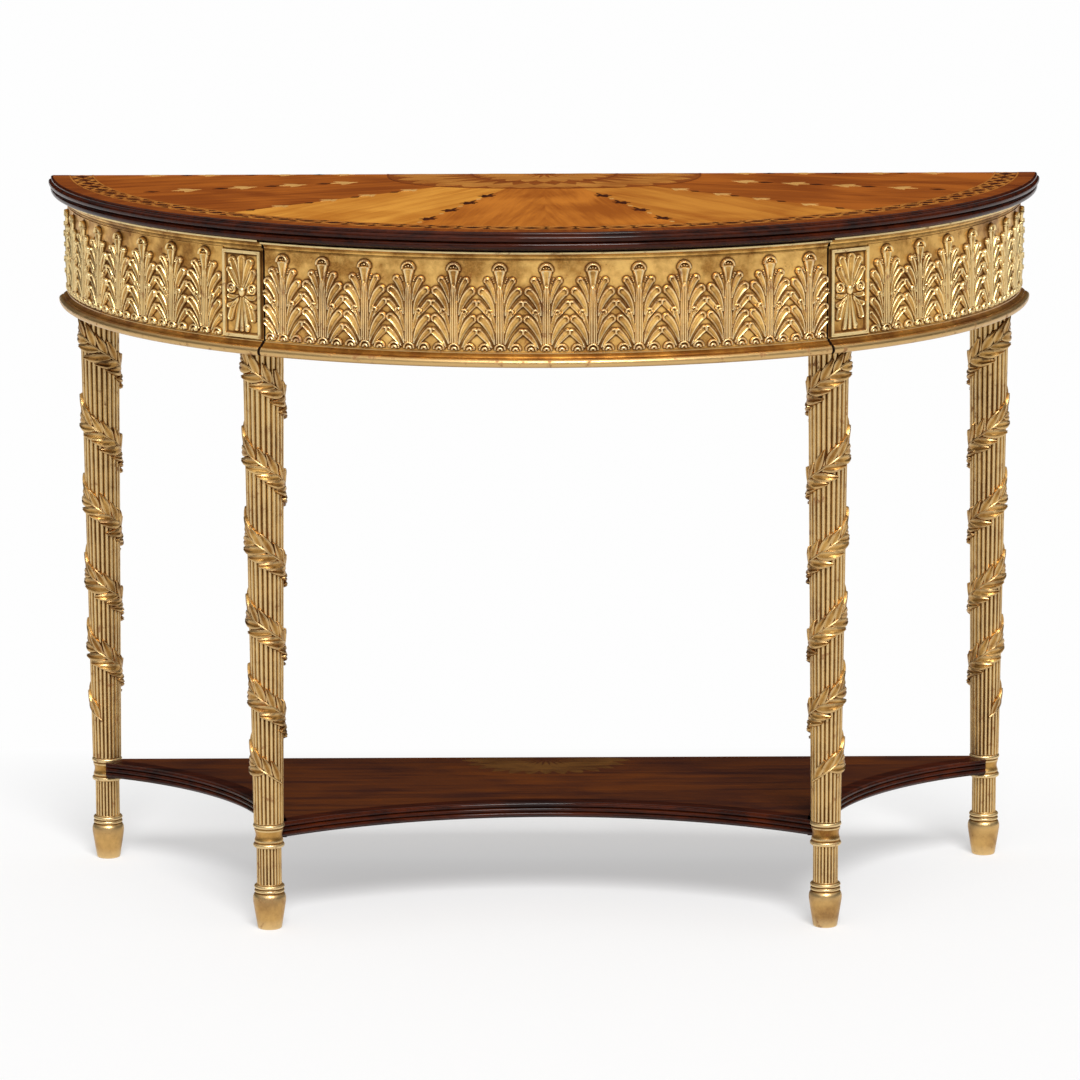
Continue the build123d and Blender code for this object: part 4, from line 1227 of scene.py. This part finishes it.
# Lobes of a tablet in millimetres: foot, bend, tip, half-width. Each group has a factor for its
# places across, the stretch, and one for its widths, the swell.
SPRAY = (
    ((-3.0, 61.0), (-10.0, 71.0), (-14.2, 83.0), 3.6),
    ((3.6, 61.0), (11.0, 70.0), (14.4, 81.0), 3.5),
    ((-2.0, 63.0), (-6.0, 82.0), (-11.0, 94.5), 4.4),
    ((2.0, 63.0), (6.0, 83.0), (10.6, 93.5), 4.2),
    ((0.0, 64.0), (0.0, 83.0), (0.8, 96.5), 5.0),
)
SPRAY_STRETCH, SPRAY_SWELL = 1.25, 1.2
HOOKS = (
    ((4.6, 52.0), (10.5, 49.0), (15.6, 51.0), 2.7),
    ((4.2, 47.0), (10.5, 41.0), (15.8, 39.5), 3.0),
    ((4.6, 49.0), (12.0, 40.0), (14.6, 25.0), 3.5),
)
HOOK_STRETCH, HOOK_SWELL = 1.22, 1.15


class DEMILUNE_OT_rosette_tablets(bpy.types.Operator):
    """Carve the framed rosettes over the front legs"""

    bl_idname = "demilune.rosette_tablets"
    bl_label = "Rosette tablets"

    def execute(self, context):
        step = sizes().carving_step * 1000
        for side, name in ((-1, "left"), (1, "right")):
            node = f"rosette_tablet_{name}"
            low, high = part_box(node)
            inner = pier_start + 0.002 / face_radius
            outer = pier_end - 0.001 / face_radius
            half = (outer - inner) / 2 * (face_radius * 1000)
            middle = side * (inner + outer) / 2
            foot = (low.z - carving_low.z) * 1000
            height = (high.z - low.z) * 1000
            across = np.linspace(-half, half, round(2 * half / step) + 1)
            up = np.linspace(foot, foot + height, round(height / step) + 1)
            work = Relief(across, up)
            self.carve(work, half, foot, height)
            piece = make_relief(f"rosette_{name}", work, step, self.bend_about(middle), "table")
            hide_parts(node)
        return {"FINISHED"}

    def bend_about(self, middle):
        """How the width of a tablet bends round the bow."""
        return lambda x: middle + x / (face_radius * 1000)

    def carve(self, work, half, foot, height):
        """Frame, boss, the spray above, the scrolls beside it and the bell below."""
        middle = foot + height / 2
        edge = np.minimum(half - np.abs(work.x), height / 2 - np.abs(work.y - middle))
        work.raise_to(np.interp(edge, (0, 0.6, 4.4, 5.0, 5.8), (1.0, 3.5, 3.5, 1.0, 0)))
        work.plate((0, 82), 15, 22, 1.2)
        work.plate((0, 32), 13, 24, 1.2)
        for *row, width in SPRAY:
            start, bend, tip = ((SPRAY_STRETCH * x, y) for x, y in row)
            width *= SPRAY_SWELL
            work.scoop(start, bend, tip, width, 4.4)
            work.hoop(tip, bend, width * 0.8, 1.2, 4.9)
        for side in (-1, 1):
            for *row, width in HOOKS:
                curve = ((side * HOOK_STRETCH * x, y) for x, y in row)
                work.scoop(*curve, HOOK_SWELL * width, 4.2)
            work.ring((side * 15.8, 61.0), 5.4, 1.4, 3.9)
            work.ring((side * 16.0, 60.4), 2.1, 1.3, 3.2)
            work.lobe((side * 2.0, 50), (side * 4.4, 34), (side * 8.2, 11), 2.7, 4.2)
        work.lobe((0, 50), (0, 34), (0, 11), 2.7, 3.6)
        work.knob((8.6, 14.6), 3.7, 4.4)
        work.knob((-9.0, 10.4), 2.2, 3.4)
        work.raise_to(5.0 * dome(np.hypot(work.x / 4.6, (work.y - 57.6) / 6.6)))


# ---------------------------------------------------------------- legs
COLLAR_HIGH = 0.134
COLLAR_LOW = 0.103
FOOT_RING_HIGH = 0.057
STUB_RADIUS = 0.0155
GARLAND_END = 0.185  # height at which the garland stops
FRONT_CROSSING, BACK_CROSSING = 0.693, 0.672  # heights at which it first crosses the leg's front


def leg_centre(name):
    """Plan place of a leg's axis."""
    low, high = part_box(name)
    return ((low.x + high.x) / 2, (low.y + high.y) / 2)


def shaft_radius(z):
    """Radius over the reeds at a height."""
    share = (z - COLLAR_HIGH) / (leg_top - COLLAR_HIGH)
    return sizes().shaft_foot + (sizes().shaft_top - sizes().shaft_foot) * share


def reeded_shaft(centre, rows, radius_of, depth, fine=10):
    """Reeded shaft through the given heights, and the hollow of each point."""
    around = sizes().reeds * fine
    points, hollow = [], []
    for z in rows:
        crest = radius_of(z)
        for i in range(around):
            across = (i % fine) / fine * 2 - 1
            drop = 1 - math.sqrt(max(0.0, 1 - across**2))
            angle = 2 * math.pi * i / around
            points.append((*about(centre, crest - depth * drop, angle), z))
            # Grooves darken with wax and painted shade; crests brighten with painted highlight.
            hollow.append(2.1 * drop - 0.5)
    return points, ring_faces(len(rows), around), hollow


def garland_leaf(along, z, heading, length, width, lift, curl):
    """One leaf of the garland, wrapped on a leg whose axis is upright.

    along is the angle round the leg; heading is the way the leaf points, measured from level
    towards up.
    """
    rows, columns = 9, 7
    sunk = -0.0022  # the rim of the leaf lies this far under the reeds
    points, hollow = [], []
    reference = shaft_radius(z)
    c, s = math.cos(heading), math.sin(heading)
    for i in range(rows + 1):
        share = i / rows
        half = width / 2 * math.sin(math.pi * (0.08 + 0.92 * share) ** 0.8) ** 0.95
        swell = lift * (0.35 + 0.65 * math.sin(math.pi / 2 * min(1, share * 1.15)))
        for j in range(columns):
            t = j / (columns - 1) * 2 - 1
            rim = abs(t) > 0.99
            vein = math.exp(-((t / 0.2) ** 2))
            x = share * length
            y = half * max(-1, min(1, t * 1.03)) + curl * share**2 * length
            place_z = z + (x * s + y * c)
            height = sunk if rim or i == rows else swell * ((1 - 0.55 * t**2) - 0.35 * vein)
            radius = shaft_radius(min(max(place_z, COLLAR_HIGH), leg_top)) + height
            angle = along + (x * c - y * s) / reference
            points.append((*about((0.0, 0.0), radius, angle), place_z))
            # Rims sunk against the reeds darken with painted shade; the vein takes some wax, the
            # blade painted highlight.
            hollow.append(0.75 if rim else 0.45 * vein - 0.25 * abs(t) - 0.15)
    return points, sheet_faces(rows + 1, columns), hollow


def garland_stem(path, radius=0.0017, sides=8):
    """Round stem of the garland along a path of angle and height."""
    points, hollow = [], []
    for along, z in path:
        crest = shaft_radius(z) + 0.0007
        for k in range(sides):
            angle = 2 * math.pi * k / sides
            out = crest + radius * math.cos(angle)
            points.append((*about((0.0, 0.0), out, along), z + radius * math.sin(angle)))
            # The stem darkens with painted shade on the side against the leg and brightens with
            # painted highlight outside.
            hollow.append(0.5 if math.cos(angle) < 0.1 else -0.3)
    return points, ring_faces(len(path), sides), hollow


def garland_path(start, z_high, z_low):
    """Angle and height along the garland, from the top down; it meets the front at start."""
    path = []
    z, along = z_high, 0.0
    step = 0.12  # angle from one place of the path to the next
    while z > z_low:
        path.append((along, z))
        z -= sizes().garland_pitch * shaft_radius(z) * step / (2 * math.pi)
        along += step
    crossing = min(path, key=lambda p: abs(p[1] - start))
    return [(a - crossing[0] - math.pi / 2, height) for a, height in path]


def garland(start, seed):
    """Stem and leaves that wind down a leg to the right, about an upright line."""
    rng = np.random.default_rng(seed)
    path = garland_path(start, leg_top - 0.002, GARLAND_END)
    slope = math.atan(sizes().garland_pitch / (2 * math.pi))
    parts = [garland_stem(path)]
    spacing = 5
    for i in range(2, len(path) - 1, spacing):
        along, z = path[i]
        size = sizes().leaf_length * (0.72 + 0.28 * shaft_radius(z) / sizes().shaft_top)
        back = math.pi - slope
        for upward, shift, share, slender, lift in (
            (1, 0.0, 0.95, 0.42, 0.0040),
            (-1, 0.24, 1.1, 0.46, 0.0054),
        ):
            heading = back - upward * math.radians(rng.uniform(30, 42))
            reach = size * rng.uniform(0.9, 1.1) * share
            if upward < 0 and z < 0.2:
                continue
            foot_z = z - shift * shaft_radius(z) * math.tan(slope)
            form = (heading, reach, reach * slender, lift, 0.10 * upward)
            parts.append(garland_leaf(along + shift, foot_z, *form))
    return parts


def collar_section():
    """Two rings and the hollow neck between them, round the shelf."""
    neck = []
    for i in range(9):
        hollow = 1 - math.sin(math.pi * i / 8)
        neck.append((0.0163 + 0.0014 * hollow, 0.1125 + 0.012 * i / 8))
    return [
        (0.004, COLLAR_LOW),
        (STUB_RADIUS + 0.001, COLLAR_LOW),
        *arc((0.0166, COLLAR_LOW + 0.0032), 0.0029, -80, 70, 8),
        (0.0176, COLLAR_LOW + 0.0072),
        (0.0179, COLLAR_LOW + 0.0084),
        *neck,
        (0.0181, COLLAR_HIGH - 0.0085),
        (0.0178, COLLAR_HIGH - 0.0072),
        *arc((0.0166, COLLAR_HIGH - 0.0034), 0.0029, -70, 80, 8),
        (0.0172, COLLAR_HIGH + 0.0008),
        (0.004, COLLAR_HIGH + 0.0008),
    ]


def foot_section():
    """Two thin rings over a tapering foot."""
    return [
        (0.002, 0.0),
        (0.0136, 0.0),
        (0.0146, 0.0006),
        (0.0151, 0.0018),
        (0.0171, 0.014),
        (0.0190, 0.026),
        (0.0203, 0.0345),
        (0.0205, 0.038),
        (0.0203, 0.0405),
        (0.0197, 0.0428),
        (0.0186, 0.0446),
        (0.0175, 0.0455),
        *arc((0.0165, 0.0482), 0.0023, -70, 70, 6),
        *arc((0.0163, 0.0534), 0.0026, -70, 80, 7),
        (0.0160, FOOT_RING_HIGH),
        (0.002, FOOT_RING_HIGH),
    ]


class DEMILUNE_OT_reeded_legs(bpy.types.Operator):
    """Turn and reed the four legs and wind a garland down each"""

    bl_idname = "demilune.reeded_legs"
    bl_label = "Reeded legs"

    def execute(self, context):
        for seed, name in enumerate(LEGS):
            self.make_leg(name, seed)
        return {"FINISHED"}

    def make_leg(self, name, seed):
        """One leg: shaft, garland, collar, stub and foot."""
        centre = leg_centre(name)
        depth = sizes().reed_depth
        rows = np.linspace(COLLAR_HIGH, leg_top, 30).tolist()
        stub = np.linspace(FOOT_RING_HIGH - 0.001, COLLAR_LOW + 0.001, 5).tolist()
        parts = [
            reeded_shaft(centre, rows, shaft_radius, depth),
            reeded_shaft(centre, stub, lambda z: STUB_RADIUS, depth * 0.75),
        ]
        start = FRONT_CROSSING if "front" in name else BACK_CROSSING
        for points, faces, hollow in garland(start, seed):
            if name.endswith("left"):
                placed = [(centre[0] + x, centre[1] + y, z) for x, y, z in points]
            else:
                placed = [(centre[0] - x, centre[1] + y, z) for x, y, z in points]
                faces = [tuple(reversed(face)) for face in faces]
            parts.append((placed, faces, hollow))
        parts += [(*lathe(section, centre), None) for section in (collar_section(), foot_section())]
        points, faces = gather([(p, f) for p, f, _ in parts])
        points = [(x, min(y, back_y - 0.0002), z) for x, y, z in points]
        piece = make_piece(f"gilt_{name}", points, faces, "leg_gilding")
        mark_hollows(piece.data, 5.0, 1)
        self.keep_hollows(piece.data, parts)
        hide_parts(name)

    def keep_hollows(self, mesh, parts):
        """Put the hollows that the carved parts know in place of the measured ones."""
        values = np.zeros(len(mesh.vertices), np.float32)
        mesh.attributes["hollow"].data.foreach_get("value", values)
        base = 0
        for points, _, hollow in parts:
            if hollow is not None:
                values[base : base + len(points)] = np.clip(hollow, -1, 1)
            base += len(points)
        mesh.attributes["hollow"].data.foreach_set("value", values)


# ---------------------------------------------------------------- shelf
FRONT_SAG = 0.117
SIDE_SAG = 0.060
SHELF_EAR = 0.027  # the side edges end this far before the back legs
SHELF_EDGE_WIDTH = 0.022
COLLAR_GAP = 0.018  # between a front leg's axis and the ends of the edges


def sagged_circle(start, end, sag):
    """Centre and radius of the arc that hollows the edge from start to end."""
    half = math.hypot(end[0] - start[0], end[1] - start[1]) / 2
    radius = (half**2 + sag**2) / (2 * sag)
    middle = ((start[0] + end[0]) / 2, (start[1] + end[1]) / 2)
    left = ((start[1] - end[1]) / 2 / half, (end[0] - start[0]) / 2 / half)
    return (middle[0] + left[0] * (sag - radius), middle[1] + left[1] * (sag - radius)), radius


def shelf_section(radius):
    """Reeded edge of the shelf, with the hollow edge at radius."""
    low, high = shelf_low.z, shelf_high.z
    inner = radius + SHELF_EDGE_WIDTH
    return [
        (inner, high),
        (radius + 0.0035, high),
        *arc((radius + 0.0035, high - 0.0032), 0.0032, 90, 265, 9),
        (radius + 0.0036, high - 0.0068),
        *arc((radius + 0.0026, high - 0.0094), 0.0026, 100, 260, 7),
        (radius + 0.0034, high - 0.0124),
        *arc((radius + 0.0024, high - 0.0150), 0.0024, 100, 260, 7),
        (radius + 0.0046, high - 0.0178),
        (radius + 0.0062, low),
        (inner, low),
    ]


def hollow_edge(centre, radius, start, end, limit, step=0.006):
    """The shelf's edge section carried round a hollow edge between two angles."""
    count = round((end - start) * radius / step)
    section = shelf_section(radius)
    points = []
    for i in range(count + 1):
        angle = start + (end - start) * i / count
        points += [limit(from_front(centre, reach, angle, z)) for reach, z in section]
    return points, ring_faces(count + 1, len(section))


class DEMILUNE_OT_shelf_dress(bpy.types.Operator):
    """Run the shelf's edge mouldings and inlay its fan"""

    bl_idname = "demilune.shelf_dress"
    bl_label = "Shelf edge and fan"

    def execute(self, context):
        self.run_edges()
        self.lay_fan()
        return {"FINISHED"}

    def run_edges(self):
        """Hollow front edge and the two hollow side edges."""
        left, right = leg_centre("leg_front_left"), leg_centre("leg_front_right")
        back = leg_centre("leg_back_right")
        rear = (back[0], back[1] - SHELF_EAR)
        whole = 2 * math.pi

        def plan_angle(middle, place):
            return math.atan2(place[0] - middle[0], middle[1] - place[1])

        def to_the_leg(place):
            return (min(place[0], back[0]), *place[1:])

        centre, radius = sagged_circle(left, right, FRONT_SAG)
        trim = COLLAR_GAP / radius
        first = plan_angle(centre, right)
        run = (first + trim, whole - first - trim)
        points, faces = hollow_edge(centre, radius, *run, lambda place: place)
        front = make_piece("shelf_edge_front", points, faces, "mahogany")
        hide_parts("shelf_front_moulding")
        centre, radius = sagged_circle(right, rear, SIDE_SAG)
        first = plan_angle(centre, rear) % whole
        last = plan_angle(centre, right) % whole
        run = (first - 0.05, last - COLLAR_GAP / radius)
        points, faces = hollow_edge(centre, radius, *run, to_the_leg)
        pieces = [front]
        for side, name in ((1, "right"), (-1, "left")):
            placed = [(side * x, y, z) for x, y, z in points]
            piece = make_piece(f"shelf_edge_{name}", placed, faces, "mahogany")
            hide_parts(f"shelf_side_moulding_{name}")
            pieces.append(piece)
        for piece in pieces:
            mark_hollows(piece.data)

    def lay_fan(self):
        """Half fan of petals at the back of the shelf."""
        z = shelf_high.z
        petals = []
        count = 13
        hub = 0.012
        for i in range(count):
            angle = math.pi * (i + 0.5) / count
            reach = 0.092 + 0.018 * abs(math.cos(angle))
            place = about((0.0, back_y - 0.034), hub, -angle)
            petals.append(petal(place, -angle, reach - hub, reach * 0.20, 1.9))
        piece = inlay("shelf_fan", petals, "fan_inlay", z, z + 0.0002)


# ---------------------------------------------------------------- finishes of the plain nodes
NODE_FINISHES = {
    "gilt_frieze": "frieze_gilding",
    "gilt_leg": "leg_gilding",
    "gilt_carving": "carved_gilding",
    "gilt_moulding": "bead_gilding",
    "mahogany_moulding": "mahogany",
    "mahogany_shelf": "shelf_mahogany",
    "satinwood_top": "pine",
    "oak_drawer": "oak",
    "pine_frame": "pine",
    "beech_dowel": "beech",
    "steel_screw": "screw_steel",
}


class DEMILUNE_OT_node_finishes(bpy.types.Operator):
    """Give every CAD node the finish of its material slot"""

    bl_idname = "demilune.node_finishes"
    bl_label = "Finishes of the frame"

    def execute(self, context):
        for row in frame["record"]["subparts"]:
            node = frame["nodes"][row["node"]]
            finish = bpy.data.materials[NODE_FINISHES[row["material_slot"]]]
            node.data.materials.clear()
            node.data.materials.append(finish)
        return {"FINISHED"}


# ---------------------------------------------------------------- stage
class DEMILUNE_OT_stage(bpy.types.Operator):
    """Set up the floor, the light and the camera"""

    bl_idname = "demilune.stage"
    bl_label = "Stage"

    def execute(self, context):
        self.lay_floor()
        self.light_world(context.scene)
        self.hang_lamps(context.scene)
        self.place_camera(context.scene)
        return {"FINISHED"}

    def lay_floor(self):
        """White floor that keeps the table's shadow near it and glows brighter away behind it,
        painted light that wipes the shadow out there.
        """
        size = 40.0
        mesh = bpy.data.meshes.new("floor")
        corners = [(-size, -size, 0), (size, -size, 0), (size, size, 0), (-size, size, 0)]
        mesh.from_pydata(corners, [], [(0, 1, 2, 3)])
        floor = bpy.data.objects.new("floor", mesh)
        bpy.context.scene.collection.objects.link(floor)
        material = bpy.data.materials.new("floor_white")
        tree = self.empty_tree(material)
        seen = seen_rays(tree)
        depth = add_node(tree, "ShaderNodeSeparateXYZ", {0: object_place(tree)}).outputs["Y"]
        # Painted light: behind the table the floor glows brighter where seen and hides the table's
        # shadow.
        wipe_start, wipe_end = 0.45, 0.90
        shadow_wipe = times(tree, seen, spread(tree, depth, wipe_start, wipe_end))
        grey, black = (0.53, 0.53, 0.53, 1), (0.0, 0.0, 0.0, 1)
        paint = add_node(tree, "ShaderNodeBsdfDiffuse", {"Color": blend(tree, shadow_wipe, grey, black)})
        lift = plus(tree, times(tree, seen, 0.44), times(tree, shadow_wipe, 0.55))
        glow = add_node(tree, "ShaderNodeEmission", {"Color": (1, 1, 1, 1), "Strength": lift})
        both = add_node(tree, "ShaderNodeAddShader", {0: paint.outputs[0], 1: glow.outputs[0]})
        add_node(tree, "ShaderNodeOutputMaterial", {"Surface": both.outputs[0]})
        mesh.materials.append(material)

    def empty_tree(self, owner):
        """The node tree of a material or a world, emptied."""
        owner.use_nodes = True
        owner.node_tree.nodes.clear()
        return owner.node_tree

    def light_world(self, scene):
        """Even light from all round for the light it carries; where it is seen, dark near the
        horizon and bright above.
        """
        scene.world = bpy.data.worlds.new("studio")
        tree = self.empty_tree(scene.world)
        place = add_node(tree, "ShaderNodeTexCoord").outputs["Generated"]
        up = add_node(tree, "ShaderNodeSeparateXYZ", {0: place}).outputs["Z"]
        studio = spread(tree, up, 0.35, 0.85, 0.004, 0.9)
        lit = {0: seen_rays(tree), 2: 0.40, 3: studio}
        strength = add_node(tree, "ShaderNodeMix", lit).outputs[0]
        sky = add_node(tree, "ShaderNodeBackground", {"Color": (1, 1, 1, 1), "Strength": strength})
        add_node(tree, "ShaderNodeOutputWorld", {"Surface": sky.outputs[0]})

    def hang_lamps(self, scene):
        """Two wide soft suns, with their turns about X and Y and their width in degrees."""
        for name, back, side, energy, softness in (
            ("key", 44, 9, 2.65, 24),
            ("fill", 48, -36, 0.2, 30),
        ):
            lamp = bpy.data.lights.new(name, "SUN")
            lamp.energy = energy
            lamp.angle = math.radians(softness)
            holder = bpy.data.objects.new(name, lamp)
            holder.rotation_euler = (math.radians(back), math.radians(side), 0)
            scene.collection.objects.link(holder)

    def place_camera(self, scene):
        """Camera in front of the table and above its top."""
        distance = 7.3832
        height = 1.7835
        pitch = 0.1837
        yaw = 0.0041
        roll = -0.0028
        focal = 5798.7
        middle_x = 545.132
        frame_width = 1080
        camera = bpy.data.cameras.new("camera")
        camera.sensor_width = 36.0
        camera.lens = focal * camera.sensor_width / frame_width
        camera.shift_x = (frame_width / 2 - middle_x) / frame_width
        holder = bpy.data.objects.new("camera", camera)
        scene.collection.objects.link(holder)
        place = (-distance * math.sin(yaw), back_y - distance * math.cos(yaw), height)
        turn = Matrix.Rotation(-yaw, 4, "Z") @ Matrix.Rotation(math.pi / 2 - pitch, 4, "X")
        holder.matrix_world = Matrix.Translation(place) @ turn @ Matrix.Rotation(roll, 4, "Z")
        scene.camera = holder
        scene.view_settings.view_transform = "Standard"


# ---------------------------------------------------------------- panel and start
OPERATORS = (
    DEMILUNE_OT_node_finishes,
    DEMILUNE_OT_veneered_top,
    DEMILUNE_OT_gilt_mouldings,
    DEMILUNE_OT_acanthus_bands,
    DEMILUNE_OT_rosette_tablets,
    DEMILUNE_OT_reeded_legs,
    DEMILUNE_OT_shelf_dress,
    DEMILUNE_OT_stage,
)


class DEMILUNE_PT_table(bpy.types.Panel):
    """Sizes, colours and steps of the table"""

    bl_idname = "DEMILUNE_PT_table"
    bl_label = "Demilune Table"
    bl_space_type = "VIEW_3D"
    bl_region_type = "UI"
    bl_category = "Demilune"

    def draw(self, context):
        for group in (sizes(), colours()):
            box = self.layout.box()
            for name in group.bl_rna.properties.keys():
                if name not in {"rna_type", "name"}:
                    box.prop(group, name)
        for operator in OPERATORS:
            self.layout.operator(operator.bl_idname)


CLASSES = (TableSizes, TableColours, *OPERATORS, DEMILUNE_PT_table)


def register():
    for cls in CLASSES:
        bpy.utils.register_class(cls)
    bpy.types.Scene.demilune_sizes = PointerProperty(type=TableSizes)
    bpy.types.Scene.demilune_colours = PointerProperty(type=TableColours)


def unregister():
    del bpy.types.Scene.demilune_colours
    del bpy.types.Scene.demilune_sizes
    for cls in reversed(CLASSES):
        bpy.utils.unregister_class(cls)


def main():
    """Build the whole table."""
    register()
    build_gilding_group()
    build_grain_group()
    make_gildings()
    make_woods()
    make_steel()
    bpy.ops.demilune.node_finishes()
    bpy.ops.demilune.veneered_top()
    bpy.ops.demilune.gilt_mouldings()
    bpy.ops.demilune.acanthus_bands()
    bpy.ops.demilune.rosette_tablets()
    bpy.ops.demilune.reeded_legs()
    bpy.ops.demilune.shelf_dress()
    bpy.ops.demilune.stage()


if __name__ == "__main__":
    main()
